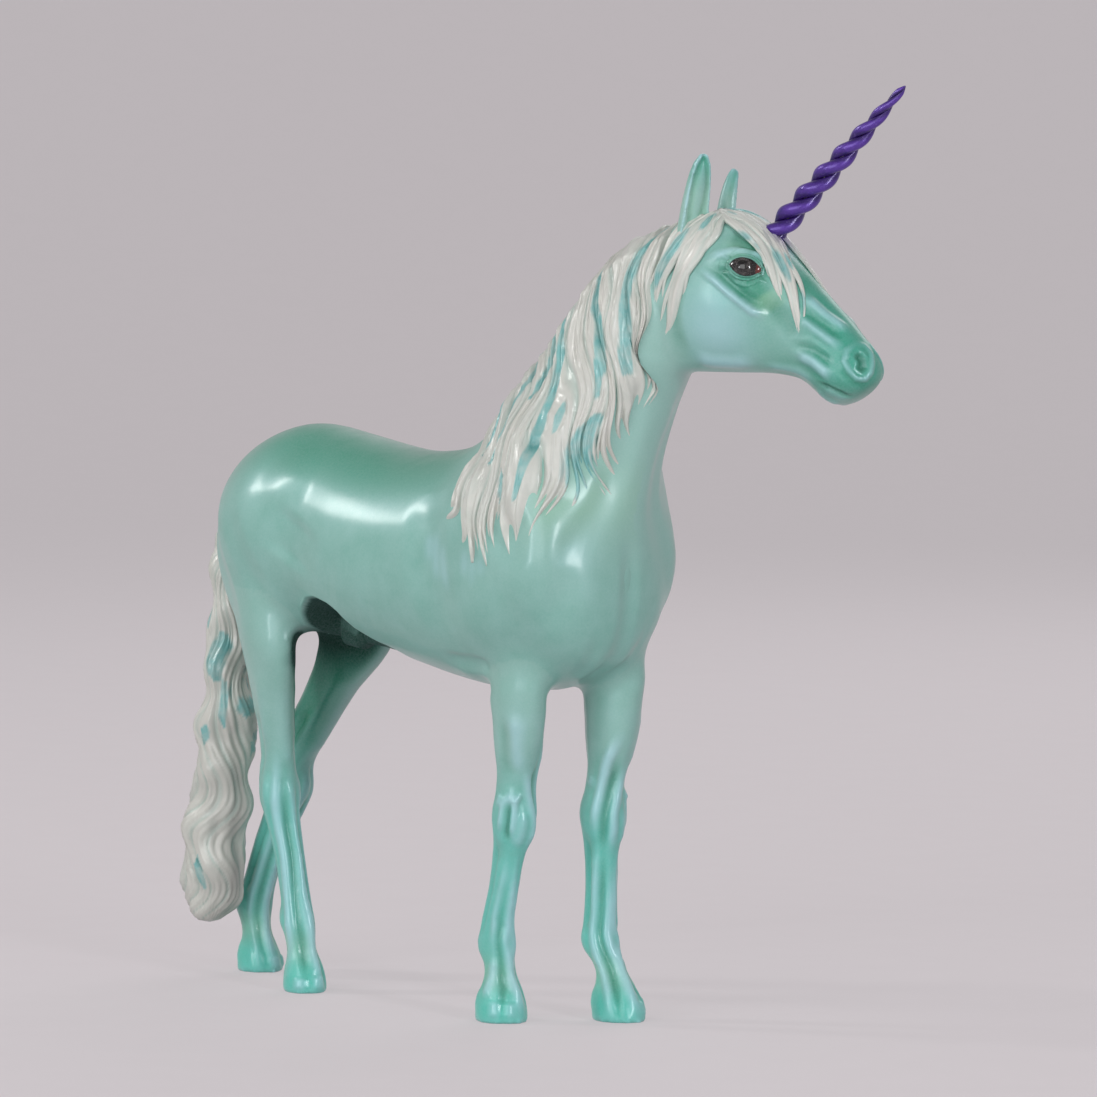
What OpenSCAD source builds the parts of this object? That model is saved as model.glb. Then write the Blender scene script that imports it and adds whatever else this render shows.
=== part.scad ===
// Standing unicorn figurine at about 1:32 scale, built as a glued and pinned assembly.
// Two hollow body shells, a turned head, four pinned legs, set-in eyes and ears,
// a two-strand twisted horn on a wire pin, and modelled mane, forelock and tail.
// Units are millimetres. +X is the way the body faces, +Y its left side, +Z up.

/* [Body] */
// Height of the croup above the floor
croup_h = 54.6; // [53:0.2:57]
// Height of the back behind the withers
back_h = 52.4; // [51:0.2:53.4]
// Height of the withers under the mane
withers_h = 53.8; // [53:0.2:56]
// Height of the tail root
dock_h = 48.5; // [47:0.5:50]
// Height of the underside between the thighs
thigh_h = 33; // [31:0.5:35]
// Height of the flank fold
flank_h = 34.2; // [33:0.1:36]
// Height of the belly at mid barrel
belly_h = 32.5; // [30:0.5:35]
// Height of the girth behind the elbows
girth_h = 30.5; // [29:0.5:32]
// How far the buttocks reach behind mid barrel
rump_x = 25.6; // [25:0.1:27]
// How far the breast reaches ahead of mid barrel
breast_x = 29.2; // [28:0.1:30]
// Width across the hips
hip_w = 18.5; // [16:0.5:20]
// Width across the barrel
barrel_w = 19; // [17:0.5:21]
// Width across the shoulders
shoulder_w = 19.2; // [18:0.2:21]
// Wall of the moulded shells
shell_wall = 1.2; // [0.8:0.1:1.6]

/* [Neck and head] */
// Height of the poll, the top of the head
poll_h = 75; // [73.5:0.5:77]
// How far the poll is ahead of mid barrel
poll_x = 35; // [33.5:0.5:36.5]
// How far the poll is to the left of the body's middle
poll_y = 5; // [3:0.5:7]
// How far the head joint is to the left of the body's middle
neck_sway = 4.2; // [2.5:0.1:6]
// Heading of the head joint to the left
neck_turn = 15; // [8:1:22]
// Heading of the head to the left
head_turn = 21; // [16:1:30]
// Width of the neck at its middle
neck_w = 10.5; // [9:0.5:12]
// Width of the neck at the head joint
throat_w = 8.4; // [7.5:0.1:9.5]
// Width across the cheeks
cheek_w = 9.8; // [9:0.1:11]
// Width across the muzzle
muzzle_w = 5.6; // [5:0.1:6.5]
// Length of the face from poll to upper lip, along the heading
face_reach = 16.7; // [15:0.1:18]
// Drop of the face from poll to upper lip
face_drop = 15.1; // [14.2:0.1:16]
// Drop of the jaw line below the poll
jaw_drop = 14.6; // [13.8:0.1:15.4]
// Drop of the chin below the poll
chin_drop = 17.4; // [16.6:0.1:18.2]

/* [Eyes and ears] */
// Diameter of each eye ball
eye_d = 2.4; // [2:0.1:2.8]
// How much of the eye ball stands out of the head
eye_proud = 0.7; // [0.4:0.1:1]
// Length of the right ear out of the head
right_ear_l = 6.9; // [5:0.1:8]
// Length of the left ear out of the head
left_ear_l = 5.1; // [4.4:0.1:7]
// Width of the right ear
right_ear_w = 2.9; // [2.4:0.1:3.2]
// Width of the left ear
left_ear_w = 2.2; // [2:0.1:2.8]
// Wall of each ear
ear_wall = 0.6; // [0.5:0.1:0.8]
// Reach of the hooked ear tips to the front
ear_hook = 0.3; // [0.2:0.1:0.8]
// Tilt of the ears outwards
ear_splay = 8; // [0:1:20]
// Tilt of the right ear forwards
right_ear_lean = 13; // [-5:1:20]
// Tilt of the left ear forwards
left_ear_lean = 3; // [-5:1:20]

/* [Horn] */
// Length of the horn out of the forehead
horn_l = 18.6; // [14:0.2:22]
// Diameter across the two strands at the base
horn_d = 2.4; // [2:0.1:3]
// Diameter across the two strands at the tip
horn_tip_d = 0.6; // [0.5:0.1:0.9]
// Full turns of each strand
horn_turns = 3.6; // [2:0.1:5]
// Rise of the horn above the horizontal
horn_rise = 46; // [40:1:56]
// Diameter of the wire pin inside the horn
horn_pin_d = 0.5; // [0.4:0.05:0.6]
// Depth of the pin in the forehead
horn_pin_depth = 3; // [2:0.5:4]
// Length of the pin inside the horn
horn_pin_l = 11; // [6:0.5:12]

/* [Forelegs] */
// Height of the knees
knee_h = 18.8; // [17:0.1:20]
// Height of the front fetlocks
fore_fetlock_h = 7.2; // [6.5:0.1:8]
// Depth of the upper forearm, front to back
forearm_d = 7; // [6.2:0.1:7.8]
// Width of the upper forearm
forearm_w = 4.3; // [3.8:0.1:5]
// Depth of the knee, front to back
knee_d = 4.4; // [4:0.1:5]
// Width of the knee
knee_w = 3.6; // [3.2:0.1:4]
// Depth of the front cannon, front to back
fore_cannon_d = 3; // [2.7:0.1:3.4]
// Depth of the front fetlock, front to back
fore_fetlock_d = 3.7; // [3.4:0.1:4.2]
// Distance between the front hooves
fore_track = 8.4; // [7.5:0.1:9.5]
// Turn-out of the forelegs
fore_turnout = 4; // [0:1:8]
// Distance of each elbow from the body's middle
fore_root_y = 4.7; // [4.4:0.1:5]
// Right elbow ahead of mid barrel
right_elbow_x = 20; // [19:0.1:21.5]
// Right knee ahead of mid barrel
right_knee_x = 18.6; // [18:0.1:20]
// Right front fetlock ahead of mid barrel
right_fore_fetlock_x = 16.3; // [15.6:0.1:17.4]
// Right front hoof ahead of mid barrel
right_fore_x = 16.9; // [16:0.1:18.4]
// Left elbow ahead of mid barrel
left_elbow_x = 23; // [21.6:0.1:24]
// Left knee ahead of mid barrel
left_knee_x = 21.6; // [20.8:0.1:22.6]
// Left front fetlock ahead of mid barrel
left_fore_fetlock_x = 21.3; // [20.4:0.1:22.4]
// Left front hoof ahead of mid barrel
left_fore_x = 23.9; // [22.6:0.1:25]

/* [Hind legs] */
// Height of the hocks
hock_h = 19.8; // [19:0.1:21]
// Height of the hind fetlocks
hind_fetlock_h = 6.4; // [6:0.1:7.2]
// Depth of the thigh, front to back
thigh_d = 13; // [11.5:0.1:14]
// Width of the thigh
thigh_w = 5.4; // [5:0.1:5.8]
// Depth of the stifle, front to back
stifle_d = 9; // [8:0.1:10]
// Width of the stifles
stifle_w = 4.6; // [4.4:0.1:5.6]
// Depth of the gaskin, front to back
gaskin_d = 5.7; // [5:0.1:6.4]
// Width of the gaskin
gaskin_w = 3.4; // [3:0.1:4]
// Depth of the hock, front to back
hock_d = 4.6; // [4:0.1:5.2]
// Width of the hock
hock_w = 3.4; // [3:0.1:3.8]
// Depth of the hind cannon, front to back
hind_cannon_d = 3.3; // [3:0.1:3.7]
// Depth of the hind fetlock, front to back
hind_fetlock_d = 3.6; // [3.4:0.1:4.1]
// Distance between the hind hooves
hind_track = 7.2; // [6.8:0.1:8]
// Turn-out of the hind legs
hind_turnout = 16; // [10:1:20]
// Distance of each stifle from the body's middle
stifle_y = 5.4; // [5:0.1:5.8]
// Distance of each hip from the body's middle
hind_root_y = 4.4; // [4.2:0.1:4.8]
// Place of both hips ahead of mid barrel
hip_x = -18; // [-18.6:0.1:-17.2]
// Right stifle ahead of mid barrel
right_stifle_x = -15.2; // [-16:0.1:-14.4]
// Right hock ahead of mid barrel
right_hock_x = -15.9; // [-17:0.1:-15]
// Right hind fetlock ahead of mid barrel
right_hind_fetlock_x = -13; // [-14:0.1:-12.4]
// Right hind hoof ahead of mid barrel
right_hind_x = -12; // [-12.8:0.1:-11.2]
// Left stifle ahead of mid barrel
left_stifle_x = -14.4; // [-15.4:0.1:-13.4]
// Left hock ahead of mid barrel
left_hock_x = -22.6; // [-23.6:0.1:-21.6]
// Left hind fetlock ahead of mid barrel
left_hind_fetlock_x = -28.2; // [-29:0.1:-27.4]
// Left hind hoof ahead of mid barrel
left_hind_x = -27.3; // [-28:0.1:-26.5]

/* [Feet] */
// Width of the cannons
cannon_w = 2.4; // [2.1:0.1:2.7]
// Width of the fetlocks
fetlock_w = 2.9; // [2.7:0.1:3.4]
// Length of each front sole, front to back
hoof_l = 5.3; // [4.6:0.1:6]
// Width of each front sole
hoof_w = 4.6; // [4:0.1:5.2]
// Height of each front hoof to the hair line
hoof_h = 2.8; // [2.4:0.1:3.2]
// Length of each hind sole, front to back
hind_hoof_l = 4.7; // [4.2:0.1:5.4]
// Width of each hind sole
hind_hoof_w = 4; // [3.6:0.1:4.6]
// Height of each hind hoof to the hair line
hind_hoof_h = 2.6; // [2.3:0.1:3]

/* [Hair] */
// Thickness of the mane at the roots
mane_t = 1.4; // [1:0.1:1.8]
// Locks in each length of the mane
mane_locks = 3; // [2:1:4]
// Thickness of the forelock
forelock_t = 0.7; // [0.5:0.1:1]
// Height of the tail's end above the floor
tail_tip_h = 5; // [3:0.5:8]
// Width of the tail at its fullest
tail_w = 5.4; // [4.6:0.1:5.6]
// Depth of the tail at its fullest, front to back
tail_d = 7; // [6:0.1:7.4]
// Swing of the tail's lower part to the left of the middle
tail_swing = -1; // [-1.4:0.1:-0.8]

/* [Pins and fits] */
// Clearance of glued pins in their holes
pin_fit = 0.05; // [0.03:0.01:0.1]
// Clearance of the eyes in their sockets
eye_fit = 0.1; // [0.08:0.01:0.15]
// Film of glue under the modelled hair
hair_gap = 0.3; // [0.25:0.01:0.35]
// Diameter of the leg pins
leg_pin_d = 1.6; // [1.2:0.1:2]
// Length of the leg pins
leg_pin_l = 12; // [10:0.5:13]
// Diameter of the neck dowel
neck_dowel_d = 3; // [2:0.1:3.4]
// Length of the neck dowel
neck_dowel_l = 8; // [6:0.5:9]
// Diameter of the wire in the tail root
tail_wire_d = 1; // [0.8:0.1:1.2]
// Length of the wire in the tail root
tail_wire_l = 5; // [4:0.5:6]
// Diameter of the locating pegs inside the shells
peg_d = 1.8; // [1.4:0.1:2.2]
// Length of the locating pegs
peg_l = 2.5; // [2:0.1:3]
// Wall of the bosses round the pegs
boss_wall = 0.9; // [0.7:0.1:1.2]
// Place of the part's origin ahead of mid barrel
origin_x = 10.4; // [9.5:0.1:11.5]
// Place of the part's origin to the left of the body's middle
origin_y = 1.2; // [0.5:0.1:2]

/* [Hidden] */
$fn = 48;

mint = "#8fc4b2";
leg_green = "#7fbfae";
hair_white = "#d2d2c4";
horn_purple = "#472a86";
eye_dark = "#2b2724";
wire_grey = "#b4b2aa";

// Smoothness of the forms
half_steps = 12;
body_rings = 34;
leg_sides = 16;
strand_sides = 8;
strand_rings = 64;
tail_sides = 24;
tail_rings = 30;

RIGHT = 1;
LEFT = -1;

// Smooth curves and blends
function mix(a, b, t) = a + (b - a) * t;
function clamp(v, low, high) = max(low, min(high, v));
function smooth(t) = let (c = clamp(t, 0, 1)) c * c * (3 - 2 * c);
function curve(list, u) =
    let (
        last = len(list) - 1,
        i = clamp(floor(u), 0, last - 1),
        t = u - i,
        b = list[i],
        c = list[i + 1],
        a = i > 0 ? list[i - 1] : 2 * b - c,
        d = i < last - 1 ? list[i + 2] : 2 * c - b
    )
    b + (c - a) * t / 2 + (a - 2.5 * b + 2 * c - d / 2) * t * t
        + ((b - c) * 1.5 + (d - a) / 2) * t * t * t;

// Closed solids from rows of points
nearest = 0.001;
function apart(a, b) = norm(a - b) > nearest;
function distinct(p, f) = apart(p[f[0]], p[f[1]]) && apart(p[f[1]], p[f[2]]) && apart(p[f[2]], p[f[0]]);
function turned(f, side) = side > 0 ? f : [f[2], f[1], f[0]];
function flat_list(rows) = [for (row = rows) each row];
function quad(a, b, c, d) = [[a, b, c], [a, c, d]];

// A closed tube through full rings of points, capped at both ends
module tube_loft(rings) {
    rows = len(rings);
    sides = len(rings[0]);
    points = concat(flat_list(rings), [for (end = [0, rows - 1]) average(rings[end])]);
    hubs = [rows * sides, rows * sides + 1];
    faces = [
        for (i = [0:rows - 2], j = [0:sides - 1])
            let (k = (j + 1) % sides)
            each quad(i * sides + j, (i + 1) * sides + j, (i + 1) * sides + k, i * sides + k),
        for (j = [0:sides - 1])
            let (k = (j + 1) % sides)
            each [[hubs[0], j, k], [hubs[1], (rows - 1) * sides + k, (rows - 1) * sides + j]]
    ];
    polyhedron(points, [for (f = faces) if (distinct(points, f)) f], convexity = 6);
}
function average(list) = [for (axis = [0:2]) [for (p = list) p[axis]] * [for (p = list) 1 / len(list)]];

// A closed solid between an outer and an inner sheet of points
module sheet_loft(outer, inner, side) {
    rows = len(outer);
    columns = len(outer[0]);
    points = concat(flat_list(outer), flat_list(inner));
    function o(i, j) = i * columns + j;
    function n(i, j) = (rows + i) * columns + j;
    r = rows - 1;
    c = columns - 1;
    faces = [
        for (i = [0:r - 1], j = [0:c - 1])
            each side < 0
                ? quad(o(i, j), o(i, j + 1), o(i + 1, j + 1), o(i + 1, j))
                : quad(o(i, j + 1), o(i + 1, j + 1), o(i + 1, j), o(i, j)),
        for (i = [0:r - 1], j = [0:c - 1]) each quad(n(i, j), n(i + 1, j), n(i + 1, j + 1), n(i, j + 1)),
        for (i = [0:r - 1]) each quad(o(i, 0), o(i + 1, 0), n(i + 1, 0), n(i, 0)),
        for (i = [0:r - 1]) each quad(o(i, c), n(i, c), n(i + 1, c), o(i + 1, c)),
        for (j = [0:c - 1]) each quad(o(0, j + 1), o(0, j), n(0, j), n(0, j + 1)),
        for (j = [0:c - 1]) each quad(o(r, j), o(r, j + 1), n(r, j + 1), n(r, j))
    ];
    polyhedron(points, [for (f = faces) if (distinct(points, f)) turned(f, side)], convexity = 10);
}

// A point of a cross-section: 0 degrees is its top, 90 its right, 180 its underside.
// A station is [top x, top z, low x, low z, half width, place of the width, crest sharpness].
function section_point(s, angle, out, spread, y, yaw) =
    let (
        top = [s[0], s[1]],
        low = [s[2], s[3]],
        middle = mix(low, top, s[5]),
        arm = cos(angle) >= 0 ? top - middle : low - middle,
        plane = middle + arm * (1 + out / norm(arm)) * abs(cos(angle)),
        sharp = cos(angle) > 0 ? s[6] : 1,
        across = spread * (s[4] + out) * pow(abs(sin(angle)), sharp) * sign(sin(angle))
    )
    [plane[0] + across * sin(yaw), y - across * cos(yaw), plane[1]];

// Places on the body and head, in stations along them and degrees round them
tail_wire_rise = 10;
cavity_from = 1.4;
cavity_to = 13;
boss_places = [5.4, 7.6];
peg_root = 1;
eye_u = 2.56;
eye_angle = 66;
right_ear_u = 0.2;
left_ear_u = 0.76;
ear_angle = 38;
ear_root = 1.2;
ear_turn = 42;
ear_wrap = 115;
ear_taper = 0.7;
ear_bend_from = 0.55;
horn_u = 2.86;
horn_sink = 1.2;
horn_taper = 2.5;
horn_phase = 132;
mane_from_u = 7.9;
mane_full_u = 13.5;
mane_to_u = 16.9;
mane_over = -14;
mane_fall_low = 62;
mane_fall_full = 112;
mane_fall_poll = 120;
mane_drift = 1.1;
mane_notch = 0.82;
forelock_u = 1.1;
forelock_root = 30;
forelock_fan = 56;
forelock_short = 1.2;
forelock_long = 5.2;
forelock_locks = 5;
cheek_lock_top = [1.25, 43];
cheek_lock_end = [-0.35, 128];
cheek_lock_w = 0.5;

// Body and neck, from the buttocks to the head joint
withers_x = 11.5;
crest_end = [poll_x - 3.8, poll_h - 1.6];
throat_end = [poll_x - 3, poll_h - 15.5];
breast_top = [breast_x + 0.5, girth_h + 13.5];
function crest(t, arch) = mix([withers_x, withers_h], crest_end, t) + [0, arch];
function throat(t, hollow) = mix(breast_top, throat_end, t) - [hollow, 0];
function station(top, low, width, place, sharp) =
    [top[0], top[1], low[0], low[1], width / 2, place, sharp];
function upright(x, top, low, width) = station([x, top], [x, low], width, 0.5, 1);
body_stations = [
    upright(-rump_x, dock_h - 3.5, thigh_h + 6.5, hip_w * 0.1),
    upright(-rump_x + 0.7, dock_h - 1, thigh_h + 5, hip_w * 0.3),
    upright(-rump_x + 2.5, mix(dock_h, croup_h, 0.3), thigh_h + 3.4, hip_w * 0.58),
    upright(-rump_x + 6, mix(dock_h, croup_h, 0.72), thigh_h + 2, hip_w * 0.86),
    upright(-rump_x + 11, croup_h, thigh_h + 1.2, hip_w),
    upright(-10, mix(back_h, croup_h, 0.8), flank_h, hip_w * 0.97),
    upright(-4, mix(back_h, croup_h, 0.35), mix(belly_h, flank_h, 0.5), mix(hip_w, barrel_w, 0.6)),
    upright(2, back_h, belly_h, barrel_w),
    upright(8, mix(back_h, withers_h, 0.3), mix(belly_h, girth_h, 0.6), mix(barrel_w, shoulder_w, 0.4)),
    station([withers_x, withers_h], [14.5, girth_h], shoulder_w, 0.5, 1.1),
    station(crest(0.13, -0.6), [21, girth_h + 0.3], shoulder_w, 0.46, 1.2),
    station(crest(0.23, -0.3), [breast_x - 1.7, girth_h + 3], shoulder_w, 0.42, 1.2),
    station(crest(0.33, 0.5), [breast_x + 0.4, girth_h + 8], shoulder_w, 0.41, 1.3),
    station(crest(0.46, 2.2), breast_top, mix(shoulder_w, neck_w, 0.78), 0.45, 1.4),
    station(crest(0.6, 3.1), throat(0.32, 0.7), neck_w, 0.48, 1.4),
    station(crest(0.75, 3.1), throat(0.61, 0.4), mix(neck_w, throat_w, 0.5), 0.5, 1.3),
    station(crest(0.89, 1.7), throat(0.84, 0.1), mix(neck_w, throat_w, 0.85), 0.5, 1.2),
    station(crest_end, throat_end, throat_w, 0.5, 1.1)
];
body_last = len(body_stations) - 1;
neck_from = 10;
function neck_share(u) = clamp((u - neck_from) / (body_last - neck_from), 0, 1);
function body_y(u) = neck_sway * pow(neck_share(u), 1.6);
function body_yaw(u) = neck_turn * neck_share(u);
function body_at(u, angle, out = 0, spread = 1) =
    section_point(curve(body_stations, u), angle, out, spread, body_y(u), body_yaw(u));
function body_ring(u) = [for (j = [0:2 * half_steps - 1]) body_at(u, 180 * j / half_steps)];
function body_step(i) = i * body_last / body_rings;

// Head, from the neck joint to the lips, measured from the poll along its heading
function face(reach, drop, under, jaw, width, place, sharp) =
    station([reach * face_reach, -drop * face_drop], [under * face_reach, -jaw], width, place, sharp);
head_stations = [
    face(-0.09, 0.01, -0.11, jaw_drop, mix(throat_w, cheek_w, 0.3), 0.5, 1),
    face(0.09, 0, 0.03, jaw_drop, mix(throat_w, cheek_w, 0.8), 0.52, 0.9),
    face(0.26, 0.05, 0.16, jaw_drop, cheek_w, 0.54, 0.85),
    face(0.4, 0.155, 0.28, jaw_drop, cheek_w * 0.95, 0.56, 0.85),
    face(0.51, 0.275, 0.38, jaw_drop, mix(muzzle_w, cheek_w, 0.52), 0.56, 0.9),
    face(0.605, 0.385, 0.47, jaw_drop + 0.2, mix(muzzle_w, cheek_w, 0.25), 0.55, 0.9),
    face(0.7, 0.5, 0.545, jaw_drop + 0.4, mix(muzzle_w, cheek_w, 0.08), 0.52, 0.9),
    face(0.79, 0.6, 0.605, mix(jaw_drop, chin_drop, 0.35), muzzle_w * 0.97, 0.5, 0.9),
    face(0.865, 0.69, 0.655, mix(jaw_drop, chin_drop, 0.6), muzzle_w * 0.99, 0.5, 0.9),
    face(0.925, 0.77, 0.715, mix(jaw_drop, chin_drop, 0.85), muzzle_w, 0.5, 0.9),
    face(0.98, 0.85, 0.79, chin_drop, muzzle_w * 0.93, 0.5, 0.95),
    face(1.01, 0.935, 0.865, chin_drop - 0.3, muzzle_w * 0.72, 0.5, 1),
    face(1.005, 1, 0.925, chin_drop - 1, muzzle_w * 0.42, 0.5, 1)
];
head_last = len(head_stations) - 1;
head_ahead = [cos(head_turn), sin(head_turn), 0];
head_right = [sin(head_turn), -cos(head_turn), 0];
poll = [poll_x, poll_y, poll_h];
function head_place(ahead, right, up) = poll + ahead * head_ahead + right * head_right + [0, 0, up];
function head_at(u, angle, out = 0) =
    let (p = section_point(curve(head_stations, u), angle, out, 1, 0, 0))
    head_place(p[0], -p[1], p[2]);
function head_ring(u) = [for (j = [0:2 * half_steps - 1]) head_at(u, 180 * j / half_steps)];

// The dowel stands square to the head joint, at its middle
joint_normal = [cos(neck_turn), sin(neck_turn), 0];
joint_middle = (body_at(body_last, 0) + body_at(body_last, 180)) / 2;

// Legs, from inside the body to the sole: [height, ahead, left, depth, width]
fore_y = fore_track / 2;
hind_y = hind_track / 2;
function fore_stations(side, elbow_x, knee_x, fetlock_x, hoof_x) = [
    for (s = [
        [girth_h + 8, elbow_x, fore_root_y, forearm_d * 0.6, forearm_w * 0.5],
        [girth_h + 4, elbow_x, fore_root_y, forearm_d, forearm_w * 0.8],
        [girth_h, mix(elbow_x, knee_x, 0.25), mix(fore_root_y, fore_y, 0.3), forearm_d * 0.93, forearm_w],
        [mix(knee_h, girth_h, 0.62), mix(elbow_x, knee_x, 0.5), mix(fore_root_y, fore_y, 0.5),
            forearm_d * 0.8, forearm_w * 0.9],
        [mix(knee_h, girth_h, 0.3), mix(elbow_x, knee_x, 0.8), mix(fore_root_y, fore_y, 0.8),
            knee_d * 0.86, knee_w * 0.84],
        [knee_h + 0.8, knee_x, fore_y, knee_d, knee_w],
        [knee_h - 1, knee_x, fore_y, knee_d * 0.97, knee_w * 0.97],
        [knee_h - 3, mix(knee_x, fetlock_x, 0.25), fore_y,
            mix(knee_d, fore_cannon_d, 0.7), mix(knee_w, cannon_w, 0.8)],
        [mix(fore_fetlock_h, knee_h, 0.45), mix(knee_x, fetlock_x, 0.6), fore_y, fore_cannon_d, cannon_w],
        [fore_fetlock_h + 2, fetlock_x, fore_y, fore_cannon_d * 1.05, cannon_w * 1.05],
        [fore_fetlock_h, fetlock_x, fore_y, fore_fetlock_d, fetlock_w],
        [mix(hoof_h, fore_fetlock_h, 0.4), mix(fetlock_x, hoof_x, 0.55), fore_y,
            fore_cannon_d * 0.92, cannon_w * 1.05],
        [hoof_h, mix(fetlock_x, hoof_x, 0.8), fore_y, hoof_l * 0.78, hoof_w * 0.82],
        [hoof_h * 0.5, mix(fetlock_x, hoof_x, 0.92), fore_y, hoof_l * 0.95, hoof_w * 0.97],
        [0, hoof_x, fore_y, hoof_l, hoof_w]
    ]) [s[0], s[1], -side * s[2], s[3] / 2, s[4] / 2, -side * fore_turnout]
];
function hind_stations(side, stifle_x, hock_x, fetlock_x, hoof_x) = [
    for (s = [
        [dock_h - 3.5, hip_x, hind_root_y, thigh_d * 0.65, thigh_w * 0.5],
        [dock_h - 9, hip_x, hind_root_y, thigh_d, thigh_w],
        [thigh_h + 1, stifle_x, stifle_y, stifle_d, stifle_w],
        [mix(hock_h, thigh_h, 0.65), mix(stifle_x, hock_x, 0.4), mix(stifle_y, hind_y, 0.4),
            gaskin_d, gaskin_w],
        [mix(hock_h, thigh_h, 0.3), mix(stifle_x, hock_x, 0.75), mix(stifle_y, hind_y, 0.8),
            gaskin_d * 0.88, gaskin_w * 0.82],
        [hock_h + 0.8, hock_x, hind_y, hock_d, hock_w * 0.94],
        [hock_h - 1.2, hock_x, hind_y, hock_d, hock_w],
        [hock_h - 3.5, mix(hock_x, fetlock_x, 0.16), hind_y,
            mix(hock_d, hind_cannon_d, 0.6), hock_w * 0.88],
        [mix(hind_fetlock_h, hock_h, 0.5), mix(hock_x, fetlock_x, 0.5), hind_y,
            hind_cannon_d, cannon_w * 1.08],
        [hind_fetlock_h + 2, mix(hock_x, fetlock_x, 0.86), hind_y, hind_cannon_d, cannon_w * 1.08],
        [hind_fetlock_h, fetlock_x, hind_y, hind_fetlock_d, fetlock_w],
        [mix(hind_hoof_h, hind_fetlock_h, 0.4), mix(fetlock_x, hoof_x, 0.5), hind_y,
            hind_cannon_d * 0.9, cannon_w * 1.08],
        [hind_hoof_h, mix(fetlock_x, hoof_x, 0.8), hind_y, hind_hoof_l * 0.78, hind_hoof_w * 0.82],
        [hind_hoof_h * 0.5, mix(fetlock_x, hoof_x, 0.92), hind_y, hind_hoof_l * 0.94, hind_hoof_w * 0.96],
        [0, hoof_x, hind_y, hind_hoof_l, hind_hoof_w]
    ]) [s[0], s[1], -side * s[2], s[3] / 2, s[4] / 2, -side * hind_turnout]
];
right_fore = fore_stations(RIGHT, right_elbow_x, right_knee_x, right_fore_fetlock_x, right_fore_x);
left_fore = fore_stations(LEFT, left_elbow_x, left_knee_x, left_fore_fetlock_x, left_fore_x);
right_hind = hind_stations(RIGHT, right_stifle_x, right_hock_x, right_hind_fetlock_x, right_hind_x);
left_hind = hind_stations(LEFT, left_stifle_x, left_hock_x, left_hind_fetlock_x, left_hind_x);
leg_lists = [right_fore, left_fore, right_hind, left_hind];
function leg_ring(s) =
    [for (j = [0:leg_sides - 1])
        let (a = -360 * j / leg_sides, ahead = s[3] * cos(a), left = s[4] * sin(a))
        [s[1] + ahead * cos(s[5]) - left * sin(s[5]), s[2] + ahead * sin(s[5]) + left * cos(s[5]), s[0]]];

// Solid forms that the separate pieces are cut by
module body_form(from, to) {
    tube_loft([for (i = [from:to]) body_ring(body_step(i))]);
}
module head_form(to) {
    tube_loft(concat([body_ring(body_last)], [for (u = [0:0.5:to]) head_ring(u)]));
}
module along(point, direction) {
    tilt = acos(direction[2] / norm(direction));
    turn = atan2(direction[1], direction[0]);
    translate(point) rotate([0, tilt, turn]) children();
}
module leg_pin(stations, clearance) {
    root = (stations[1] + stations[2]) / 2;
    translate([root[1], root[2], root[0] - leg_pin_l / 2])
        cylinder(h = leg_pin_l, d = leg_pin_d + 2 * clearance);
}
module dowel(clearance) {
    along(joint_middle - joint_normal * neck_dowel_l / 2, joint_normal)
        cylinder(h = neck_dowel_l, d = neck_dowel_d + 2 * clearance);
}
module tail_pin(clearance) {
    along(tail_root - tail_wire_dir * tail_wire_l / 2, tail_wire_dir)
        cylinder(h = tail_wire_l, d = tail_wire_d + 2 * clearance);
}

// Body shells, parted along the middle
module shell_boss(side, u) {
    place = body_at(u, 90 * side, -shell_wall / 2);
    deep = abs(place[1]);
    along(place, [0, side, 0]) cylinder(h = deep, d = peg_d + 2 * boss_wall);
}
module peg(u, clearance) {
    place = body_at(u, 90, 0);
    along([place[0], -peg_root, place[2]], [0, 1, 0])
        cylinder(h = peg_root + peg_l + clearance, d = peg_d + 2 * clearance);
}
module shell_blank(side) {
    turns = [for (j = [0:half_steps]) side * 180 * j / half_steps];
    rows = body_rings + 2;
    function share(i) = clamp((i - 1) / body_rings, 0, 1);
    function spread(i) = i == 0 || i == rows ? 0 : 1;
    outer = [for (i = [0:rows]) [for (a = turns) body_at(share(i) * body_last, a, 0, spread(i))]];
    inner = [for (i = [0:rows]) [for (a = turns)
        body_at(mix(cavity_from, cavity_to, share(i)), a, -shell_wall, spread(i))]];
    sheet_loft(outer, inner, -side);
}
module body_shell(side) {
    difference() {
        union() {
            shell_blank(side);
            for (u = boss_places) shell_boss(side, u);
            if (side == RIGHT) for (u = boss_places) peg(u, 0);
        }
        if (side == LEFT) for (u = boss_places) peg(u, pin_fit);
        for (stations = leg_lists) leg_pin(stations, pin_fit);
        dowel(pin_fit);
        tail_pin(pin_fit);
    }
}
module body_right_shell() {
    color(mint) placed() body_shell(RIGHT);
}
module body_left_shell() {
    color(mint) placed() body_shell(LEFT);
}

// Head with its eye sockets, horn hole and dowel hole
eye_middle = [for (side = [RIGHT, LEFT]) head_at(eye_u, side * eye_angle, eye_proud - eye_d / 2)];
module head() {
    color(mint) placed() difference() {
        head_form(head_last);
        dowel(pin_fit);
        horn_wire(pin_fit);
        for (p = eye_middle) translate(p) sphere(d = eye_d + 2 * eye_fit);
    }
}
module neck_dowel() {
    color(wire_grey) placed() dowel(0);
}
module right_eye() {
    color(eye_dark) placed() translate(eye_middle[0]) sphere(d = eye_d);
}
module left_eye() {
    color(eye_dark) placed() translate(eye_middle[1]) sphere(d = eye_d);
}

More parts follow.
